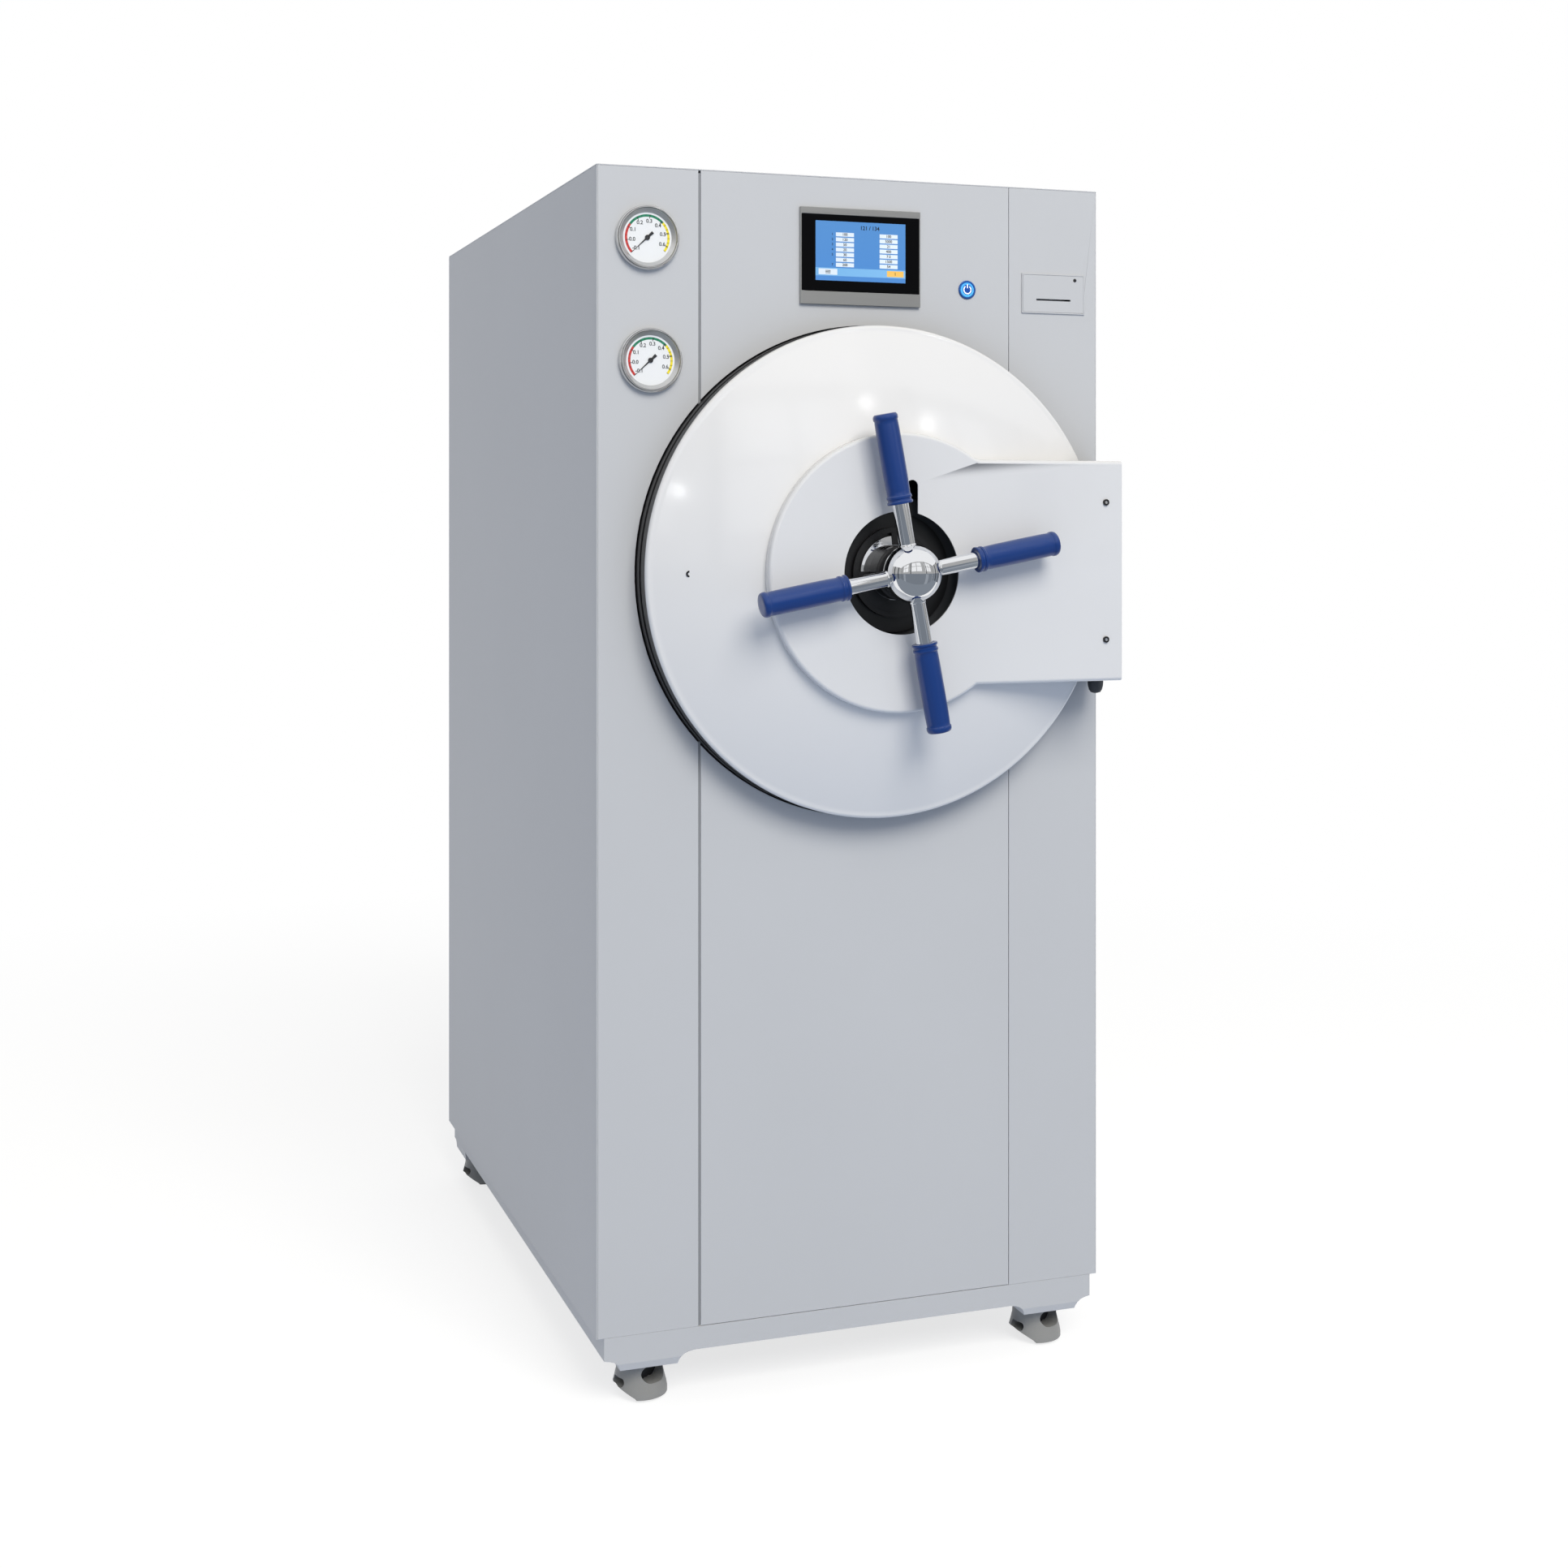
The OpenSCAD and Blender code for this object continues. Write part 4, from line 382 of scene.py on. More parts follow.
class Plan:
    """A geometry node tree with named sizes, drawn from left to right."""

    def __init__(self, name, sizes):
        self.tree = bpy.data.node_groups.new(name, "GeometryNodeTree")
        self.keys = {}
        for label, value in sizes.items():
            kind = {int: "NodeSocketInt", float: "NodeSocketFloat"}.get(type(value), "NodeSocketObject")
            socket = self.tree.interface.new_socket(label, in_out="INPUT", socket_type=kind)
            if kind != "NodeSocketObject":
                socket.default_value = value
            self.keys[label] = socket.identifier
        self.sizes = sizes
        self.tree.interface.new_socket("Geometry", in_out="OUTPUT", socket_type="NodeSocketGeometry")
        self.start = self.tree.nodes.new("NodeGroupInput")
        self.end = self.tree.nodes.new("NodeGroupOutput")

    def size(self, label):
        return self.start.outputs[label]

    def add(self, kind, inputs=None, **settings):
        return put(self.tree.nodes, kind, inputs, **settings)

    def maths(self, operation, a, b=0.0):
        return self.add("ShaderNodeMath", {0: a, 1: b}, operation=operation).outputs[0]

    def plus(self, a, b):
        return self.maths("ADD", a, b)

    def minus(self, a, b):
        return self.maths("SUBTRACT", a, b)

    def times(self, a, b):
        return self.maths("MULTIPLY", a, b)

    def over(self, a, b):
        return self.maths("DIVIDE", a, b)

    def polar(self, radius, angle, height, axes="XY"):
        """A place at an angle from the first axis towards the second."""
        run, rise = self.times(radius, self.maths("COSINE", angle)), self.times(radius, self.maths("SINE", angle))
        return self.add("ShaderNodeCombineXYZ", {axes[0]: run, axes[1]: rise, "Z": height}).outputs[0]

    def grid(self, wide, tall, columns, rows):
        inputs = {"Size X": wide, "Size Y": tall, "Vertices X": columns, "Vertices Y": rows}
        return self.add("GeometryNodeMeshGrid", inputs).outputs["Mesh"]

    def moved(self, geometry, position):
        return self.add("GeometryNodeSetPosition", {"Geometry": geometry, "Position": position}).outputs[0]

    def copies(self, points, instance, angle=None):
        """An instance on every point, turned about z by an angle."""
        inputs = {"Points": points, "Instance": instance}
        if angle is not None:
            turn = self.add("ShaderNodeCombineXYZ", {"Z": angle}).outputs[0]
            inputs["Rotation"] = self.add("FunctionNodeEulerToRotation", {"Euler": turn}).outputs[0]
        return self.add("GeometryNodeInstanceOnPoints", inputs).outputs["Instances"]

    def mesh(self, geometry, material):
        """Closes the tree, runs it once and returns the plain mesh."""
        real = self.add("GeometryNodeRealizeInstances", {"Geometry": geometry}).outputs["Geometry"]
        painted = self.add("GeometryNodeSetMaterial", {"Geometry": real, "Material": FINISH[material]})
        self.tree.links.new(painted.outputs["Geometry"], self.end.inputs["Geometry"])
        holder = linked("bench", bpy.data.meshes.new("bench"))
        maker = holder.modifiers.new("Plan", "NODES")
        maker.node_group = self.tree
        for label, value in self.sizes.items():
            maker[self.keys[label]] = value
        made = evaluated(holder)
        bpy.data.objects.remove(holder)
        return made


# Sizes and colours that a user may change


class CabinetFinish(bpy.types.PropertyGroup):
    """Paint and folds of the cabinet"""

    paint: FloatVectorProperty(
        name="Panel paint", description="Powder coat of the panels", subtype="COLOR", size=3,
        default=(0.575, 0.577, 0.582),
    )
    edge: FloatProperty(
        name="Panel edge", description="Rounding of the folded edges", default=1.2 * MM, min=0.0, unit="LENGTH"
    )
    lip: FloatProperty(
        name="Louvre lip", description="How far a louvre stands out", default=5 * MM, min=0.0, unit="LENGTH"
    )


class GaugeSizes(bpy.types.PropertyGroup):
    """Layout of the two dials"""

    face: FloatProperty(
        name="Face radius", description="Radius of the white dial", default=42 * MM, min=0.0, unit="LENGTH"
    )
    arc_in: FloatProperty(
        name="Arc inside", description="Inner radius of the coloured arc", default=31.8 * MM, min=0.0, unit="LENGTH"
    )
    arc_out: FloatProperty(
        name="Arc outside", description="Outer radius of the coloured arc", default=35.6 * MM, min=0.0, unit="LENGTH"
    )
    first: FloatProperty(
        name="First mark", description="Angle of the first figure from the top, in degrees", default=-133.0
    )
    step: FloatProperty(name="Step", description="Angle from one figure to the next, in degrees", default=35.0)
    figure: FloatProperty(
        name="Figure height", description="Height of the dial's figures", default=8.2 * MM, min=0.0, unit="LENGTH"
    )
    marks: IntProperty(name="Marks", description="Short marks on the arc", default=23, min=2)


class DoorSizes(bpy.types.PropertyGroup):
    """Paints and outline of the door's covers"""

    gloss: FloatVectorProperty(
        name="Dome paint", description="Gloss white of the dome", subtype="COLOR", size=3,
        default=(0.775, 0.764, 0.752),
    )
    arm: FloatVectorProperty(
        name="Arm paint", description="Gloss pale grey of the arm cover", subtype="COLOR", size=3,
        default=(0.735, 0.73, 0.728),
    )
    inner: FloatProperty(
        name="Dome top radius", description="Where the dome meets the arm cover", default=200 * MM, min=0.0,
        unit="LENGTH",
    )
    corner: FloatProperty(
        name="Dome corner", description="Rounding at the dome's rim", default=7 * MM, min=0.0, unit="LENGTH"
    )
    bow: FloatProperty(
        name="Dome bow", description="How far the dome's side bulges", default=5 * MM, min=0.0, unit="LENGTH"
    )
    wall: FloatProperty(name="Wall", description="Thickness of the dome", default=2 * MM, min=0.0, unit="LENGTH")


class WheelSizes(bpy.types.PropertyGroup):
    """Sizes of the handwheel"""

    grip: FloatVectorProperty(
        name="Grip colour", description="Blue of the grips", subtype="COLOR", size=3, default=(0.004, 0.037, 0.19)
    )
    first: FloatProperty(
        name="First rod", description="Angle of the first rod above the horizontal", default=math.radians(10.6),
        unit="ROTATION",
    )
    rod: FloatProperty(name="Rod radius", description="Radius of a rod", default=12.5 * MM, min=0.0, unit="LENGTH")
    grip_in: FloatProperty(
        name="Grip start", description="Where a grip starts", default=108 * MM, min=0.0, unit="LENGTH"
    )
    grip_out: FloatProperty(
        name="Grip end", description="Where a grip ends", default=246 * MM, min=0.0, unit="LENGTH"
    )
    grip_r: FloatProperty(name="Grip radius", description="Radius of a grip", default=18.5 * MM, min=0.0, unit="LENGTH")
    rods: IntProperty(name="Rods", description="Number of rods", default=4, min=1)


class StageSettings(bpy.types.PropertyGroup):
    """Light and floor round the part"""

    key: FloatProperty(name="Key lamp", description="Power of the large soft lamp in watts", default=1020.0, min=0.0)
    sky: FloatProperty(name="Sky", description="Brightness of the surroundings", default=0.46, min=0.0)
    floor: FloatVectorProperty(
        name="Floor tint", description="Colour that the floor throws back", subtype="COLOR", size=3,
        default=(0.47, 0.57, 0.77),
    )


# Operators, one for each group of pieces


class AUTOCLAVE_OT_finishes(bpy.types.Operator):
    """Mix the paints, metals, plastics and inks"""

    bl_idname = "autoclave.finishes"
    bl_label = "Finishes"

    def execute(self, context):
        scene = context.scene
        panel, gloss = list(scene.autoclave_cabinet.paint), list(scene.autoclave_door.gloss)
        arm, grip = list(scene.autoclave_door.arm), list(scene.autoclave_wheel.grip)
        finish("panel_powder_coat", panel, 0.42, grain=1100, depth=0.10, cloud=0.012, cloud_scale=2.5)
        finish("dome_gloss_white", gloss, 0.16, grain=260, depth=0.02, cloud=0.006, clear=0.6)
        finish("arm_gloss_grey", arm, 0.17, grain=240, depth=0.02, cloud=0.012, clear=0.6)
        finish("satin_black_paint", (0.012, 0.012, 0.013), 0.38, grain=1400, depth=0.12, cloud=0.15)
        finish("black_casting", (0.010, 0.010, 0.011), 0.34, grain=420, depth=0.22, cloud=0.2)
        finish("dark_frame_paint", (0.055, 0.058, 0.063), 0.5, grain=700, depth=0.15, cloud=0.1)
        finish("black_ink", (0.006, 0.006, 0.007), 0.6, grain=3000, depth=0.02)
        finish("polished_chrome", (0.80, 0.81, 0.83), 0.05, 1.0, cloud=0.01, grain=180, depth=0.01, spread=0.02)
        finish("ground_steel", (0.55, 0.56, 0.57), 0.24, 1.0, grain=600, stretch=(1, 0.04, 1), depth=0.06)
        finish("brushed_stainless", (0.60, 0.60, 0.60), 0.30, 1.0, grain=900, stretch=(0.03, 1, 1), depth=0.08)
        finish("satin_stainless", (0.74, 0.74, 0.73), 0.42, 0.8, grain=500, stretch=(1, 0.05, 1), depth=0.08)
        finish("brushed_aluminium", (0.43, 0.433, 0.43), 0.36, 1.0, grain=2200, stretch=(0.02, 1, 1), depth=0.10)
        finish("satin_bezel", (0.66, 0.66, 0.66), 0.12, 1.0, grain=120, depth=0.002, spread=0.02)
        finish("dull_bezel", (0.66, 0.66, 0.66), 0.36, 1.0, grain=150, depth=0.003, spread=0.03)
        finish("red_silicone", (0.30, 0.025, 0.012), 0.55, grain=500, depth=0.06, cloud=0.08)
        # Grey of the strip in the left column's gap: painted shade that sets how dark the gap looks
        finish("seam_rubber", (0.30, 0.305, 0.315), 0.6, grain=700, depth=0.1, cloud=0.06)
        finish("tyre_rubber", (0.025, 0.025, 0.026), 0.7, grain=500, depth=0.2, cloud=0.15)
        finish("caster_plastic", (0.30, 0.295, 0.28), 0.42, grain=650, depth=0.08, cloud=0.04)
        finish("royal_blue_grip", grip, 0.28, grain=200, depth=0.0002, cloud=0.02, spread=0.005, clear=0.25)
        finish("dial_white", (0.88, 0.88, 0.87), 0.5, grain=1500, depth=0.02, cloud=0.006)
        finish("dial_red", (0.60, 0.028, 0.018), 0.45, grain=1500, depth=0.02, cloud=0.05)
        finish("dial_green", (0.0, 0.22, 0.10), 0.45, grain=1500, depth=0.02, cloud=0.05)
        finish("dial_yellow", (0.90, 0.74, 0.01), 0.45, grain=1500, depth=0.02, cloud=0.03)
        finish("panel_black_glass", (0.002, 0.002, 0.0025), 0.04, grain=90, depth=0.004, spread=0.015, shine=0.08)
        finish("key_black", (0.012, 0.012, 0.013), 0.4, grain=1500, depth=0.08, cloud=0.1)
        finish("lamp_pale", (0.30, 0.31, 0.32), 0.3, grain=900, depth=0.04)
        finish("pump_enamel", (0.03, 0.09, 0.18), 0.36, grain=500, depth=0.12, cloud=0.08)
        finish("valve_brass", (0.55, 0.36, 0.11), 0.30, 1.0, grain=700, depth=0.10)
        finish("coil_black", (0.02, 0.02, 0.022), 0.45, grain=900, depth=0.1)
        finish("control_box_coat", (0.60, 0.60, 0.57), 0.5, grain=800, depth=0.14)
        finish("paper", (0.86, 0.86, 0.84), 0.8, grain=900, stretch=(0.05, 1, 1), depth=0.15)
        clear_glass("gauge_glass", (0.95, 0.97, 1.0), 0.015)
        low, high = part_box("touch_glass")
        across, upright = (0, low.x, high.x - low.x), (2, low.z, high.z - low.z)
        lit("screen_blue", (0.055, 0.19, 0.47), (0.065, 0.20, 0.44), 0.42, *upright)
        lit("screen_band", (0.13, 0.32, 0.55), (0.17, 0.38, 0.62), 0.45, *across)
        lit("screen_white", (0.52, 0.58, 0.64), (0.60, 0.66, 0.70), 0.45, *across)
        lit("screen_orange", (0.66, 0.44, 0.14), (0.74, 0.42, 0.08), 0.4, *across)
        low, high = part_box("power_button_ring")
        upright = (2, low.z, high.z - low.z)
        lit("button_edge", (0.005, 0.06, 0.24), (0.008, 0.09, 0.34), 0.15, *upright, 0.2)
        lit("button_ring", (0.10, 0.48, 0.86), (0.05, 0.30, 0.74), 0.45, *upright, 0.2)
        lit("button_centre", (0.002, 0.045, 0.26), (0.004, 0.07, 0.36), 0.3, *upright, 0.15)
        lit("button_sign", (0.85, 0.92, 1.0), (0.90, 0.96, 1.0), 0.5, *upright)
        return {"FINISHED"}


class AUTOCLAVE_OT_cabinet(bpy.types.Operator):
    """Make the folded panels and the plinth"""

    bl_idname = "autoclave.cabinet"
    bl_label = "Cabinet"

    def execute(self, context):
        edge = context.scene.autoclave_cabinet.edge
        front = ("front_left_column", "front_right_column", "front_upper_panel", "front_lower_panel")
        for node in (*front, "left_side_panel", "right_side_panel", "top_panel", "rear_panel"):
            dressed(node, "panel_powder_coat", bevel=0.6 * edge)
        dressed("plinth", "panel_powder_coat", bevel=edge)
        self.seam()
        return {"FINISHED"}

    def seam(self):
        """A grey strip in the gap beside the left column, above and below the door ring, that paints the gap's shade a
        set grey.
        """
        gap, back, top, past_foot, head_room = 0.1 * MM, -3.4 * MM, -2.2 * MM, 0.4 * MM, 4 * MM
        left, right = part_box("front_left_column")[1].x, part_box("front_lower_panel")[0].x
        low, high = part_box("front_lower_panel")[0].z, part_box("front_upper_panel")[1].z
        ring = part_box("flange_ring")
        radius, centre = (ring[1].x - ring[0].x) / 2, middle("flange_ring")
        chord = math.sqrt(radius**2 - (centre.x - left) ** 2)
        work = bmesh.new()
        for foot, head in ((low - past_foot, centre.z - chord), (centre.z + chord, high - head_room)):
            block(work, (left + gap, foot, back), (right - gap, head, top))
        settled(work, "left_seam_strip", on_face(0, 0), "seam_rubber", "front_left_column", extra=True)


class AUTOCLAVE_OT_gauges(bpy.types.Operator):
    """Make the two gauges with their arcs, marks and figures"""

    bl_idname = "autoclave.gauges"
    bl_label = "Gauges"

    def execute(self, context):
        sizes = context.scene.autoclave_gauge
        bezels, faces, glasses = bmesh.new(), bmesh.new(), bmesh.new()
        marks = self.marks(sizes)
        for joint in ("upper_needle_turn", "lower_needle_turn"):
            x, _, z = JOINTS[joint]["pos_m"]
            place = on_face(x, z)
            self.bezel(bezels, place)
            self.glass(glasses, place)
            self.face(faces, place, sizes, marks)
        marks.free()
        # The black third finish is painted shade in the bezel's two grooves
        bezel_finishes_and_groove_shade = ["satin_bezel", "dull_bezel", "key_black"]
        inks = ["dial_white", "dial_red", "dial_green", "dial_yellow", "black_ink"]
        settled(bezels, "gauge_bezels", HERE, bezel_finishes_and_groove_shade, "gauge_cases", 30)
        settled(faces, "gauge_faces", HERE, inks, "gauge_dials", 40)
        settled(glasses, "gauge_lenses", HERE, "gauge_glass", "gauge_glasses", 30)
        for node in ("upper_gauge_needle", "lower_gauge_needle"):
            dressed(node, "black_ink", bevel=0.15 * MM, steps=1)
        return {"FINISHED"}

    def bezel(self, work, place):
        """The case, a polished rim, the dull slope down to the dial and the grooves between them, painted black as
        painted shade.
        """
        case = [
            (0, -52), (6, -52), (6, -34), (43.6, -34), (43.6, -0.2), (49.4, 0), (50, 0.6), (50, 6.2), (49.7, 8.4),
            (49.0, 9.8), (48.2, 10.3), (47.6, 10.2),
        ]
        rim = [(47.2, 10.2), (47.1, 12.0), (46.6, 12.8), (46.0, 12.9), (45.5, 12.5), (45.3, 11.4)]
        slope = [
            (44.9, 11.0), (44.5, 9.6), (39.2, 5.0), (38.6, 4.5), (38.6, 4.26), (42.6, 4.26), (42.6, 3.0), (0, 3.0),
        ]
        # The two grooves take the third finish, black: painted shade in the narrow grooves
        outer_shade_groove = [(47.6, 10.2), (47.5, 9.0), (47.3, 9.0), (47.2, 10.2)]
        inner_shade_groove = [(45.3, 11.4), (45.2, 10.4), (45.0, 10.4), (44.9, 11.0)]
        for outline, number in ((case, 0), (rim, 0), (slope, 1), (outer_shade_groove, 2), (inner_shade_groove, 2)):
            lathe(work, mm(outline), 128, place, number)
        bmesh.ops.remove_doubles(work, verts=work.verts, dist=WELD / 2)

    def glass(self, work, place):
        lathe(work, mm([(0, 8.6), (42.6, 8.6), (42.8, 8.9), (42.8, 10.2), (42.4, 10.6), (0, 10.6)]), at=place)

    def marks(self, sizes):
        """The short marks across the arc, set out by a node tree, and the figures with their long marks."""
        plan = Plan(
            "Gauge marks",
            {
                "Count": sizes.marks,
                "Radius": (sizes.arc_in + sizes.arc_out) / 2,
                "First": math.radians(sizes.first),
                "Last": math.radians(sizes.first + sizes.step * 7.4),
                "Length": sizes.arc_out - sizes.arc_in,
                "Width": 0.6 * MM,
            },
        )
        line = plan.add("GeometryNodeMeshLine", {"Count": plan.size("Count")}).outputs["Mesh"]
        index = plan.add("GeometryNodeInputIndex").outputs[0]
        sweep = plan.minus(plan.size("Last"), plan.size("First"))
        share = plan.over(index, plan.minus(plan.size("Count"), 1.0))
        angle = plan.plus(plan.size("First"), plan.times(share, sweep))
        spot = plan.polar(plan.size("Radius"), angle, 4.14 * MM, "YX")
        box = plan.add("ShaderNodeCombineXYZ", {"X": plan.size("Width"), "Y": plan.size("Length"), "Z": 0.1 * MM})
        mark = plan.add("GeometryNodeMeshCube", {"Size": box.outputs[0]}).outputs["Mesh"]
        short = plan.copies(plan.moved(line, spot), mark, plan.times(angle, -1.0))
        work = pour(plan.mesh(short, "black_ink"), bmesh.new())
        for k in range(8):
            a = math.radians(sizes.first + sizes.step * k)
            foot, head = sizes.arc_in - 2.4 * MM, sizes.arc_out - 0.6 * MM
            block(work, (-0.5 * MM, foot, 4.08 * MM), (0.5 * MM, head, 4.2 * MM), Matrix.Rotation(-a, 4, "Z"))
            reach = sizes.arc_in - (7.6 if k < 2 else 6.4) * MM
            spot = (reach * math.sin(a), reach * math.cos(a), 4.12 * MM)
            figures(work, f"{-0.1 + 0.1 * k:.1f}".replace("-0.0", "0"), sizes.figure, spot, weight=0.018)
        for face in work.faces:
            face.material_index = 4
        return work

    def face(self, work, place, sizes, marks):
        """A white dial with its coloured arcs and a copy of the marks."""
        part = bmesh.new()
        edge = sizes.face + 0.6 * MM
        lathe(part, [(0, 3.02 * MM), (edge, 3.02 * MM), (edge, 4 * MM), (0, 4 * MM)])
        for start, end, ink in ((-133, -54, 1), (-54, 47, 2), (47, 126, 3)):
            sector(part, sizes.arc_in, sizes.arc_out, start, end, 3.9 * MM, 4.08 * MM, ink)
        copy = bpy.data.meshes.new("ink")
        marks.to_mesh(copy)
        pour(copy, part)
        part.transform(place)
        pour(as_mesh(part, "face"), work)


class AUTOCLAVE_OT_touch_panel(bpy.types.Operator):
    """Make the touch panel's frame, glass and lit screen"""

    bl_idname = "autoclave.touch_panel"
    bl_label = "Touch panel"

    def execute(self, context):
        dressed("touch_frame", "brushed_aluminium", bevel=1.3 * MM, steps=3)
        low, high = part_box("touch_glass")
        back, top = FRONT - high.y, FRONT - low.y
        work = bmesh.new()
        block(work, (low.x, low.z, back), (high.x, high.z, top))
        # The lit area's place in the frame, then everything on it in shares of its width and height
        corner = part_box("touch_frame")[0]
        left, head = corner.x + 25 * MM, corner.z + 132 * MM
        wide, tall = 153 * MM, 94 * MM

        def patch(x0, y0, x1, y1, lift, number, round_by=0.0):
            low = (left + x0 * wide, head - y1 * tall, top - 0.05 * MM)
            high = (left + x1 * wide, head - y0 * tall, top + lift * MM)
            block(work, low, high, number=number, round_by=round_by)

        def write(words, x, y, size):
            spot = (left + x * wide, head - y * tall, top + 0.085 * MM)
            figures(work, words, size * tall, spot, 5, 0.00001, 0.02)

        patch(0, 0, 1, 1, 0.02, 1)
        patch(0, 0.786, 1, 0.921, 0.035, 2)
        write("121 / 134", 0.60, 0.10, 0.092)
        values = ("100", "120", "50", "20", "30", "60", "200")
        others = ("100", "5000", "21", "400", "7.0", "1500", "54")
        for row, (value, other) in enumerate(zip(values, others)):
            y = 0.187 + 0.0853 * row
            patch(0.224, y, 0.424, y + 0.066, 0.055, 3)
            patch(0.710, y, 0.912, y + 0.066, 0.055, 3)
            write(value, 0.324, y + 0.033, 0.064)
            write(other, 0.811, y + 0.033, 0.064)
            if row != 5:
                write(str(row + 1), 0.185, y + 0.033, 0.055)
        patch(0.033, 0.802, 0.239, 0.902, 0.06, 3, 0.4 * MM)
        patch(0.792, 0.802, 0.979, 0.902, 0.06, 4, 0.4 * MM)
        for y in (0.828, 0.848, 0.868):
            patch(0.108, y, 0.164, y + 0.010, 0.085, 5)
        write("1", 0.885, 0.852, 0.07)
        inks = ["panel_black_glass", "screen_blue", "screen_band", "screen_white", "screen_orange", "black_ink"]
        settled(work, "touch_screen", on_face(0, 0), inks, "touch_glass")
        return {"FINISHED"}


class AUTOCLAVE_OT_power_button(bpy.types.Operator):
    """Make the lit power button in its ring"""

    bl_idname = "autoclave.power_button"
    bl_label = "Power button"

    def execute(self, context):
        spot = middle("power_button")
        place = on_face(spot.x, spot.z)
        ring, cap, sign = bmesh.new(), bmesh.new(), bmesh.new()
        outline = [
            (12, -10), (12.9, -10), (13, -0.2), (14.5, 0), (15, 0.5), (15, 1.3), (14.4, 2.2), (13.6, 2.5),
            (12.5, 2.4), (12, 1.9),
        ]
        lathe(ring, mm(outline), at=place, closed=True)
        settled(ring, "power_button_collar", HERE, "button_edge", "power_button_ring", 45)
        rim = [(0, -3.2), (11.3, -3.2), (11.7, -2.8), (11.7, 1.6), (11.2, 2.2), (10.0, 2.45), (8.4, 2.3)]
        lathe(cap, mm(rim), at=place)
        lathe(cap, mm([(8.4, 2.3), (5.0, 2.42), (0, 2.48)]), at=place, number=1)
        bmesh.ops.remove_doubles(cap, verts=cap.verts, dist=WELD / 2)
        sector(sign, 5.4 * MM, 7.1 * MM, 34, 326, 2.36 * MM, 2.56 * MM)
        block(sign, (-0.8 * MM, 2.6 * MM, 2.36 * MM), (0.8 * MM, 9.2 * MM, 2.58 * MM), round_by=0.3 * MM)
        bmesh.ops.recalc_face_normals(sign, faces=sign.faces)
        for face in sign.faces:
            face.material_index = 2
        sign.transform(place)
        pour(as_mesh(sign, "sign"), cap)
        settled(cap, "power_button_cap", HERE, ["button_ring", "button_centre", "button_sign"], "power_button", 40)
        return {"FINISHED"}


class AUTOCLAVE_OT_printer(bpy.types.Operator):
    """Make the printer with its hinged cover, feed button and paper"""

    bl_idname = "autoclave.printer"
    bl_label = "Printer"

    def execute(self, context):
        dressed("printer_housing", "panel_powder_coat", bevel=0.4 * MM)
        dressed("printer_cover", "panel_powder_coat", bevel=0.4 * MM)
        dressed("printer_feed_button", "key_black", bevel=0.3 * MM)
        dressed("paper_roll", "paper", bevel=0.3 * MM)
        low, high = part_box("printer_cover")
        work = bmesh.new()
        x, z, top = high.x - 29 * MM, high.z - 4.6 * MM, FRONT - low.y
        half, below, above, sunk, level = 1.1 * MM, 2.6 * MM, 1.6 * MM, 0.4 * MM, 0.02 * MM
        block(work, (x - half, z - below, top - sunk), (x + half, z + above, top - level), round_by=0.8 * MM)
        place, slot_node = on_face(0, 0), "printer_feed_button"
        settled(work, "printer_lamp_window", place, "lamp_pale", "printer_cover", extra=True, slot_node=slot_node)
        return {"FINISHED"}


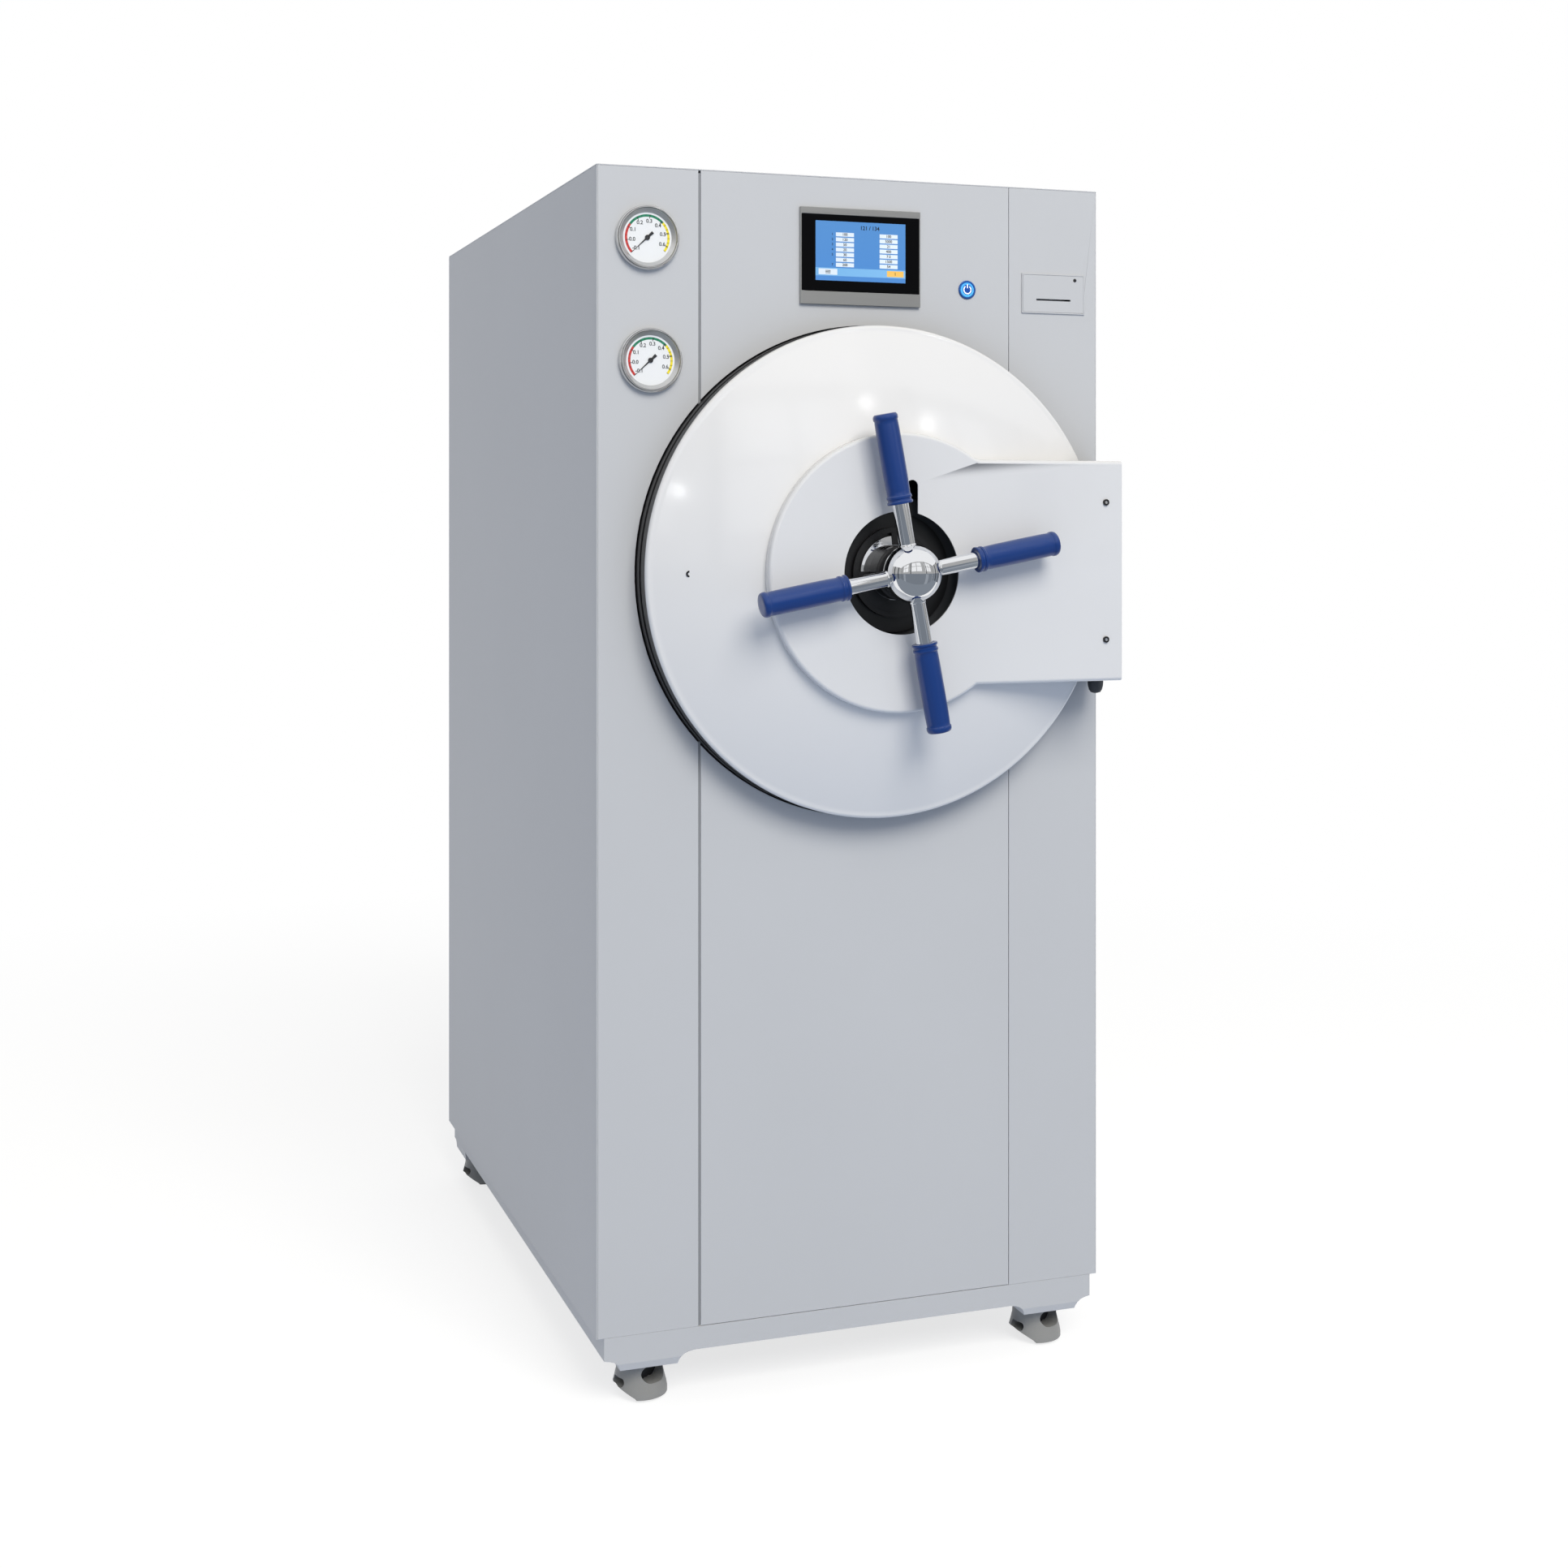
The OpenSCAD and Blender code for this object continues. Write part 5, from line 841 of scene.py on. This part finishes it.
class AUTOCLAVE_OT_door(bpy.types.Operator):
    """Make the ring, the door's rim, its dome and the arm with its cover"""

    bl_idname = "autoclave.door"
    bl_label = "Door"

    def execute(self, context):
        dressed("flange_ring", "satin_black_paint", bevel=1.0 * MM)
        dressed("door_frame", "satin_black_paint", bevel=0.8 * MM)
        dressed("door_gasket", "red_silicone", bevel=1.5 * MM)
        dressed("door_plate", "satin_stainless", bevel=0.8 * MM)
        dressed("door_arm", "dark_frame_paint", bevel=1.0 * MM)
        dressed("hinge_brackets", "dark_frame_paint", bevel=0.8 * MM)
        dressed("arm_cover", "arm_gloss_grey", bevel=0.7 * MM, angle=38)
        head_r, painted_socket_r = 5 * MM, 3 * MM
        low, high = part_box("cover_screws")
        left, right = low.x + head_r, high.x - head_r
        centre, reach = (low.z + high.z) / 2, (high.z - low.z) / 2 - head_r
        axes = ((left, centre), (right, centre + reach), (right, centre - reach))

        # Faces inside the screws' sockets get the first finish, black: painted shade in the recesses of the chrome
        # heads
        def socket(face):
            return int(any(all(math.hypot(v.co.x - x, v.co.z - z) < painted_socket_r for v in face.verts) for x, z in axes))

        dressed("cover_screws", ["key_black", "polished_chrome"], bevel=0.25 * MM, paint=socket)
        self.dome(context.scene.autoclave_door)
        return {"FINISHED"}

    def dome(self, sizes):
        """The dome's outline follows one rule round the whole door, so a node tree turns it."""
        low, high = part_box("door_cover")
        plan = Plan(
            "Door dome",
            {
                "Radius": (high.x - low.x) / 2,
                "Inner radius": sizes.inner,
                "Base": FRONT - high.y,
                "Rise": high.y - low.y,
                "Corner": sizes.corner,
                "Bow": sizes.bow,
                "Steps": 241,
                "Rows": 41,
            },
        )
        grid = plan.grid(1.0, 1.0, plan.size("Steps"), plan.size("Rows"))
        spot = plan.add("GeometryNodeInputPosition").outputs[0]
        parts = plan.add("ShaderNodeSeparateXYZ", {"Vector": spot}).outputs
        angle = plan.times(plan.plus(parts["X"], 0.5), 2 * math.pi)
        run = plan.plus(parts["Y"], 0.5)
        # The first fifth of the rows turns the corner at the rim, the others climb to the arm cover
        bend = plan.times(plan.maths("MINIMUM", plan.times(run, 5.0), 1.0), math.pi / 2)
        climb = plan.maths("MAXIMUM", plan.over(plan.minus(run, 0.2), 0.8), 0.0)
        corner = plan.size("Corner")
        shoulder = plan.minus(plan.size("Radius"), corner)
        round_out = plan.times(corner, plan.maths("COSINE", bend))
        round_up = plan.times(corner, plan.maths("SINE", bend))
        inward = plan.times(climb, plan.minus(shoulder, plan.size("Inner radius")))
        radius = plan.minus(plan.plus(shoulder, round_out), inward)
        upward = plan.times(climb, plan.minus(plan.size("Rise"), corner))
        hump = plan.times(plan.times(climb, plan.minus(1.0, climb)), 4.0)
        bulge = plan.times(plan.size("Bow"), hump)
        height = plan.plus(plan.plus(plan.size("Base"), round_up), plan.plus(upward, bulge))
        turned = plan.moved(grid, plan.polar(radius, angle, height))
        joined = plan.add("GeometryNodeMergeByDistance", {"Geometry": turned, "Distance": WELD})
        work = pour(plan.mesh(joined.outputs[0], "dome_gloss_white"), bmesh.new())
        # The arm passes through the dome under its cover
        low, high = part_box("arm_cover")
        half, reach = (high.z - low.z) / 2 - 58 * MM, high.x - DOOR_X - 8 * MM
        centres = ((face, face.calc_center_median()) for face in work.faces)
        gone = [face for face, centre in centres if 0 < centre.x < reach and abs(centre.y) < half]
        bmesh.ops.delete(work, geom=gone, context="FACES")
        bmesh.ops.recalc_face_normals(work, faces=work.faces)
        if sum(f.normal.z * f.calc_area() for f in work.faces) < 0:
            bmesh.ops.reverse_faces(work, faces=work.faces)
        bmesh.ops.solidify(work, geom=work.faces[:], thickness=sizes.wall)
        settled(work, "door_dome", on_door(), "dome_gloss_white", "door_cover", 50)


class AUTOCLAVE_OT_lock(bpy.types.Operator):
    """Make the hub casting, the latch, the spindle and the lock bolts"""

    bl_idname = "autoclave.lock"
    bl_label = "Lock"

    def execute(self, context):
        dressed("hub_casting", "black_casting", bevel=1.2 * MM, steps=3)
        dressed("interlock_latch", "satin_black_paint", bevel=0.8 * MM)
        dressed("hub_collar", "satin_black_paint", bevel=0.8 * MM)
        dressed("scroll_spindle", "polished_chrome", bevel=0.6 * MM)
        for k in range(1, 7):
            dressed(f"lock_bolt_{k}", "ground_steel", bevel=0.6 * MM)
        return {"FINISHED"}


class AUTOCLAVE_OT_handwheel(bpy.types.Operator):
    """Make the polished ball with its rods and the ribbed grips"""

    bl_idname = "autoclave.handwheel"
    bl_label = "Handwheel"

    def execute(self, context):
        sizes = context.scene.autoclave_wheel
        low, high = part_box("handwheel_spider")
        centre = FRONT - JOINTS["handwheel_turn"]["pos_m"][1]
        ball_r, back = FRONT - low.y - centre, FRONT - high.y - centre
        hub = on_door() @ Matrix.Translation((0, 0, centre))
        work = bmesh.new()
        start = math.acos(max(-1.0, min(1.0, back / ball_r)))
        turns = [start * (1 - k / 64) for k in range(64)]
        lathe(work, [(0, back), *((ball_r * math.sin(a), ball_r * math.cos(a)) for a in turns), (0, ball_r)], 128)
        rod = [(0, 20), (13.6, 20), (13.6, 44.2), (13.2, 45.0), (12.5, 45.6), (12.5, 226), (11.5, 227), (0, 227)]
        for k in range(sizes.rods):
            turn = Matrix.Rotation(sizes.first + k * 2 * math.pi / sizes.rods, 4, "Z")
            spoke = turn @ Matrix.Rotation(math.pi / 2, 4, "Y")
            lathe(work, [(r * sizes.rod / 12.5, h * MM) for r, h in rod], 64, spoke)
        settled(work, "handwheel_ball_and_rods", hub, "polished_chrome", "handwheel_spider", 40)
        self.grips(sizes, hub)
        return {"FINISHED"}

    def grips(self, sizes, hub):
        """One grip is turned on the lathe, and a node tree sets it on every rod."""
        rod, r, a, b = sizes.rod, sizes.grip_r, sizes.grip_in, sizes.grip_out
        # Shares of the radius, with the distance from the inner end and then from the outer end
        inner = (
            (1.03, 0), (1.07, 0.8), (1.07, 3.0), (1.0, 4.0), (0.97, 5.2), (0.98, 7.6), (1.05, 8.6), (1.055, 11.4),
            (1.0, 12.6), (0.965, 14), (0.98, 20), (1.0, 34),
        )
        outer = (
            (1.0, 26), (0.985, 16), (0.97, 10.5), (1.0, 9.4), (1.035, 8.6), (1.04, 4.6), (0.99, 2.0), (0.93, 0.6),
            (0.86, 0), (0.5, 0), (0, 0),
        )
        outline = [(rod, a + 1.5 * MM), (rod, a + 0.4 * MM), (rod + 0.6 * MM, a)]
        outline += [(r * share, a + gap * MM) for share, gap in inner]
        outline += [(r * 1.01, (a + b) / 2)]
        outline += [(r * share, b - gap * MM) for share, gap in outer]
        work = bmesh.new()
        lathe(work, outline, 72, Matrix.Rotation(math.pi / 2, 4, "Y"))
        grip = pattern_piece(work, "grip")
        plan = Plan("Grips on the rods", {"Grip": grip, "Rods": sizes.rods, "First": sizes.first})
        source = plan.add("GeometryNodeObjectInfo", {"Object": plan.size("Grip")}).outputs["Geometry"]
        line = plan.add("GeometryNodeMeshLine", {"Count": plan.size("Rods"), "Offset": (0, 0, 0)}).outputs["Mesh"]
        index = plan.add("GeometryNodeInputIndex").outputs[0]
        step = plan.over(2 * math.pi, plan.size("Rods"))
        angle = plan.plus(plan.size("First"), plan.times(index, step))
        made = plan.mesh(plan.copies(line, source, angle), "royal_blue_grip")
        bpy.data.objects.remove(grip)
        made.transform(hub)
        made.name = "handwheel_grips_finished"
        finished(made, "handwheel_grips_finished", "royal_blue_grip", "handwheel_grips", 40)


class AUTOCLAVE_OT_casters(bpy.types.Operator):
    """Make the caster hoods and wheels"""

    bl_idname = "autoclave.casters"
    bl_label = "Casters"

    def execute(self, context):
        for corner in ("front_left", "front_right", "rear_left", "rear_right"):
            dressed(corner + "_hood", "caster_plastic", bevel=1.0 * MM, steps=3)
            dressed(corner + "_wheel", "tyre_rubber", bevel=1.2 * MM, steps=3)
        return {"FINISHED"}


class AUTOCLAVE_OT_rear(bpy.types.Operator):
    """Make the connections, the louvre lips and the screws at the back"""

    bl_idname = "autoclave.rear"
    bl_label = "Rear"

    def execute(self, context):
        dressed("pipework", "brushed_stainless", bevel=0.5 * MM)
        low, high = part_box("rear_panel")
        first = low.z + 0.72 * (high.z - low.z)
        lips = {"Columns": 2, "Rows": 12, "Width": 270 * MM, "Height": 242 * MM, "Middle": first + 121 * MM}
        self.spread("louvre_lips", self.lip(context.scene.autoclave_cabinet.lip), "panel_powder_coat", high.y, lips)
        screws = {
            "Columns": 2,
            "Rows": 6,
            "Width": high.x - low.x - 32 * MM,
            "Height": high.z - low.z - 60 * MM,
            "Middle": (low.z + high.z) / 2,
        }
        self.spread("rear_panel_screws", self.screw(), "ground_steel", high.y, screws)
        return {"FINISHED"}

    def lip(self, out):
        """One pressed lip: a rounded hood that leans over its slot, its ends drawn in."""
        stations, bends, inner_sheet = 12, 6, 0.72
        half, crown, drop = 91 * MM, 8.5 * MM, 10 * MM
        work = bmesh.new()
        rows = []
        for k in range(stations + 1):
            run = -1 + 2 * k / stations
            full = math.sqrt(max(0.0, 1 - abs(run) ** 6))
            row = []
            for sheet in (1.0, inner_sheet):
                for n in range(bends + 1) if sheet == 1.0 else reversed(range(bends + 1)):
                    a = math.pi / 2 * n / bends
                    height = crown - drop * (1 - math.cos(a)) * (0.3 + 0.7 * full)
                    depth = sheet * out * math.sin(a) * full
                    row.append(work.verts.new((half * run, height - (1 - sheet) * 3 * MM, max(depth, -0.3 * MM))))
            rows.append(row)
        bridge(work, rows)
        bmesh.ops.remove_doubles(work, verts=work.verts, dist=WELD * 2)
        return work

    def screw(self):
        """One pan head screw with a round socket."""
        head = [
            (0, -0.5), (4.4, -0.5), (4.5, 0.2), (4.3, 1.4), (3.4, 2.4), (2.2, 2.8), (1.6, 2.8), (1.5, 1.2), (0, 1.2),
        ]
        return lathe(bmesh.new(), mm(head), 20)

    def spread(self, name, work, material, y, sizes):
        """Sets a shape out in columns and rows on the rear panel's outside."""
        one = pattern_piece(work, name)
        plan = Plan(name.replace("_", " ").capitalize(), {"Shape": one, **sizes})
        source = plan.add("GeometryNodeObjectInfo", {"Object": plan.size("Shape")}).outputs["Geometry"]
        grid = plan.grid(*(plan.size(label) for label in ("Width", "Height", "Columns", "Rows")))
        lift = plan.add("ShaderNodeCombineXYZ", {"Y": plan.size("Middle")}).outputs[0]
        moved = plan.add("GeometryNodeTransform", {"Geometry": grid, "Translation": lift}).outputs[0]
        made = plan.mesh(plan.copies(moved, source), material)
        bpy.data.objects.remove(one)
        outside = Matrix.Translation((0, y, 0)) @ Matrix.Rotation(math.pi, 4, "Z")
        made.transform(outside @ Matrix.Rotation(math.pi / 2, 4, "X"))
        made.name = name
        finished(made, name, material, "rear_panel", 40, extra=True)


class AUTOCLAVE_OT_inside(bpy.types.Operator):
    """Make the vessel, the rack, the frame and the machinery inside the cabinet"""

    bl_idname = "autoclave.inside"
    bl_label = "Inside"

    def execute(self, context):
        dressed("chamber_shell", "satin_stainless", bevel=0.6 * MM)
        dressed("steam_jacket", "brushed_stainless")
        dressed("loading_rack", "satin_stainless", bevel=0.5 * MM)
        dressed("base_frame", "dark_frame_paint", bevel=1.0 * MM)
        boiler, pumps, valves = (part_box(node)[0] for node in ("steam_generator", "pump_set", "valve_group"))
        foot_h, bed_h, head_x, head_y, far_head_y = 26 * MM, 5.5 * MM, 160 * MM, 180 * MM, 148 * MM
        bracket_x, box_h, coil_h, coil_y = 57 * MM, 158 * MM, 227 * MM, 290 * MM

        def feet(face):
            return int(face.calc_center_median().z < boiler.z + foot_h)

        def bed_and_heads(face):
            spot = face.calc_center_median() - pumps
            if spot.z < bed_h:
                return 1
            return 2 if spot.y < (head_y if spot.x < head_x else far_head_y) else 0

        def valve_parts(face):
            spot = face.calc_center_median() - valves
            if spot.x > bracket_x:
                return 1
            if spot.z < box_h:
                return 3
            return 2 if spot.z > coil_h and spot.y < coil_y else 0

        boiler_looks = ["brushed_stainless", "dark_frame_paint"]
        pump_looks = ["pump_enamel", "dark_frame_paint", "ground_steel"]
        valve_looks = ["valve_brass", "dark_frame_paint", "coil_black", "control_box_coat"]
        dressed("steam_generator", boiler_looks, bevel=0.6 * MM, paint=feet)
        dressed("pump_set", pump_looks, bevel=0.6 * MM, paint=bed_and_heads)
        dressed("valve_group", valve_looks, bevel=0.4 * MM, paint=valve_parts)
        dressed("control_box", "control_box_coat", bevel=0.6 * MM)
        return {"FINISHED"}


class AUTOCLAVE_OT_stage(bpy.types.Operator):
    """Set up the floor, the surroundings, the lamps and the camera"""

    bl_idname = "autoclave.stage"
    bl_label = "Stage"

    def execute(self, context):
        settings = context.scene.autoclave_stage
        context.scene.view_settings.view_transform = "Standard"
        self.floor(settings)
        self.surroundings(settings)
        self.lamp("Key", (0.3, -9.8, 8.5), (0.0, -0.5, 0.9), 6.0, settings.key, (1.0, 0.975, 0.915))
        # Three small lamps that the gloss of the dome shows as glints
        for number, place in enumerate(((-2.04, -4.03, 2.51), (1.10, -3.74, 3.78), (2.04, -3.56, 3.40))):
            self.lamp(f"Glint {number + 1}", place, (0.0, -0.6, 1.45), 0.07, 2.0, (1.0, 1.0, 1.0), in_gloss=True)
        self.cards()
        data = bpy.data.cameras.new("Camera")
        data.lens = 48.4
        data.sensor_width = 36.0
        data.shift_x = 0.0
        data.shift_y = -0.172
        camera = linked("Camera", data)
        camera.location = (-1.2216, -3.6505, CAD_BOX[1][2] - 0.534)
        camera.rotation_euler = Euler((math.radians(90), 0, math.radians(-19.41)))
        context.scene.camera = camera
        return {"FINISHED"}

    def floor(self, settings):
        """A floor that takes the part's shadow near it and is plain white further away."""
        half, shadow_end, white_start = 60, 1.6, 4.0
        work = bmesh.new()
        block(work, (-half, -half, -0.02), (half, half, 0))
        floor = linked("floor", as_mesh(work, "floor"))
        material = bpy.data.materials.new("pale_floor")
        nodes = emptied(material)
        dull = put(nodes, "ShaderNodeBsdfDiffuse", {"Color": (*settings.floor, 1)})
        pale = put(nodes, "ShaderNodeBsdfDiffuse", {"Color": (0.36, 0.36, 0.36, 1)})
        white = put(nodes, "ShaderNodeEmission", {"Color": (1, 1, 1, 1), "Strength": 0.74})
        near = put(nodes, "ShaderNodeAddShader", {0: pale.outputs[0], 1: white.outputs[0]})
        far = put(nodes, "ShaderNodeEmission", {"Color": (1, 1, 1, 1), "Strength": 1.0})
        place = put(nodes, "ShaderNodeTexCoord").outputs["Object"]
        reach = put(nodes, "ShaderNodeVectorMath", {0: place}, operation="LENGTH").outputs["Value"]
        span = {"Value": reach, "From Min": shadow_end, "From Max": white_start}
        away = put(nodes, "ShaderNodeMapRange", span).outputs["Result"]
        shown = put(nodes, "ShaderNodeMixShader", {0: away, 1: near.outputs[0], 2: far.outputs[0]})
        put(nodes, "ShaderNodeOutputMaterial", {"Surface": unseen_lighting(nodes, dull, shown)})
        floor.data.materials.append(material)

    def surroundings(self, settings):
        """A white room to look at, with a softer light from it that falls on the part."""
        world = bpy.data.worlds.new("Surroundings")
        bpy.context.scene.world = world
        nodes = emptied(world)
        way = put(nodes, "ShaderNodeTexCoord").outputs["Generated"]
        height = put(nodes, "ShaderNodeSeparateXYZ", {"Vector": way}).outputs["Z"]
        tone = two_tones(world.node_tree, height, (0.75, 0.80, 0.90), (1.0, 0.98, 0.94), (0.0, 1.0))
        sky = put(nodes, "ShaderNodeBackground", {"Color": tone, "Strength": settings.sky})
        white = put(nodes, "ShaderNodeBackground", {"Color": (1, 1, 1, 1), "Strength": 1.0})
        put(nodes, "ShaderNodeOutputWorld", {"Surface": unseen_lighting(nodes, sky, white)})

    def cards(self):
        """The room that the gloss and the chrome show: walls, posts, doors, windows and a dim floor."""
        side, wall, far, split, top = 4, -2.2, 3.0, 1.3, 2.9
        lower, upper = (0.21, 0.235, 0.27), (0.46, 0.46, 0.455)
        for name, low, high, colour in (("lower", 0.0, split, lower), ("upper", split, top, upper)):
            walls = [((-side, wall, low), (side, wall, high))]
            walls += [((x, wall, low), (x, far, high)) for x in (-side, side)]
            self.card(f"room_{name}_walls", walls, colour)
        # Everything else stands a little in front of the walls
        starts = ((-3.4, 0), (-2.7, 0), (-0.85, split), (0.95, split), (2.7, 0), (3.4, 0))
        posts = [((x, -2.16, low), (x + 0.1, -2.16, top)) for x, low in starts]
        posts += [((x, y, 0.0), (x, y + 0.3, top)) for x in (-3.98, 3.98) for y in (-1.6, -0.4, 1.2)]
        self.card("room_posts", posts, (0.05, 0.055, 0.065))
        doors = [((x, -2.17, 0.0), (x + 0.5, -2.17, 1.25)) for x in (-2.2, 0.9, 2.5)]
        self.card("room_pale_doors", doors, (0.34, 0.37, 0.41))
        self.card("room_floor", [((-side, wall, 0.01), (side, -0.62, 0.01))], (0.25, 0.28, 0.32))
        panes = [(x + w, z) for x in (-2.3, -0.7, 0.9) for w in (0.0, 0.6) for z in (1.55, 2.15)]
        self.card("room_windows", [((x, -2.18, z), (x + 0.53, -2.18, z + 0.53)) for x, z in panes], (1, 1, 1))

    def card(self, name, spans, colour):
        """Upright or level rectangles that only reflections show."""
        work = bmesh.new()
        for low, high in spans:
            level = low[2] == high[2]
            side = (high[0], low[1], low[2]) if low[0] != high[0] else (low[0], high[1], low[2])
            corners = (low, side, high, (low[0], high[1] if level else low[1], high[2]))
            work.faces.new([work.verts.new(corner) for corner in corners])
        card = linked(name, as_mesh(work, name))
        material = bpy.data.materials.new(name)
        nodes = emptied(material)
        glow = put(nodes, "ShaderNodeEmission", {"Color": (*colour, 1), "Strength": 1.0})
        put(nodes, "ShaderNodeOutputMaterial", {"Surface": glow.outputs[0]})
        material.cycles.emission_sampling = "NONE"
        card.data.materials.append(material)
        card.visible_camera = card.visible_diffuse = card.visible_shadow = card.visible_transmission = False

    def lamp(self, name, place, target, size, power, colour, in_gloss=False):
        """A square lamp that looks at a place, and that the gloss shows only if in_gloss is set."""
        data = bpy.data.lights.new(name, "AREA")
        data.shape = "SQUARE"
        data.size = size
        data.energy = power
        data.color = colour
        lamp = linked(name, data)
        lamp.location = place
        lamp.rotation_euler = (Vector(target) - Vector(place)).to_track_quat("-Z", "Y").to_euler()
        lamp.visible_glossy = in_gloss


class AUTOCLAVE_PT_panel(bpy.types.Panel):
    """Lists the steps that dress the autoclave"""

    bl_idname = "AUTOCLAVE_PT_panel"
    bl_label = "Autoclave"
    bl_space_type = "VIEW_3D"
    bl_region_type = "UI"
    bl_category = "Autoclave"

    def draw(self, context):
        for step in STEPS:
            self.layout.operator(step.bl_idname)
        for name in GROUPS:
            group = getattr(context.scene, name)
            column = self.layout.column()
            for key in group.__annotations__:
                column.prop(group, key)


GROUPS = {
    "autoclave_cabinet": CabinetFinish,
    "autoclave_gauge": GaugeSizes,
    "autoclave_door": DoorSizes,
    "autoclave_wheel": WheelSizes,
    "autoclave_stage": StageSettings,
}
STEPS = (
    AUTOCLAVE_OT_finishes,
    AUTOCLAVE_OT_stage,
    AUTOCLAVE_OT_cabinet,
    AUTOCLAVE_OT_gauges,
    AUTOCLAVE_OT_touch_panel,
    AUTOCLAVE_OT_power_button,
    AUTOCLAVE_OT_printer,
    AUTOCLAVE_OT_door,
    AUTOCLAVE_OT_lock,
    AUTOCLAVE_OT_handwheel,
    AUTOCLAVE_OT_casters,
    AUTOCLAVE_OT_rear,
    AUTOCLAVE_OT_inside,
)


def register():
    for name, group in GROUPS.items():
        bpy.utils.register_class(group)
        setattr(bpy.types.Scene, name, PointerProperty(type=group))
    for step in STEPS:
        bpy.utils.register_class(step)
    bpy.utils.register_class(AUTOCLAVE_PT_panel)


def unregister():
    bpy.utils.unregister_class(AUTOCLAVE_PT_panel)
    for step in reversed(STEPS):
        bpy.utils.unregister_class(step)
    for name, group in GROUPS.items():
        delattr(bpy.types.Scene, name)
        bpy.utils.unregister_class(group)


def main():
    register()
    for step in STEPS:
        family, name = step.bl_idname.split(".")
        getattr(getattr(bpy.ops, family), name)()


if __name__ == "__main__":
    main()
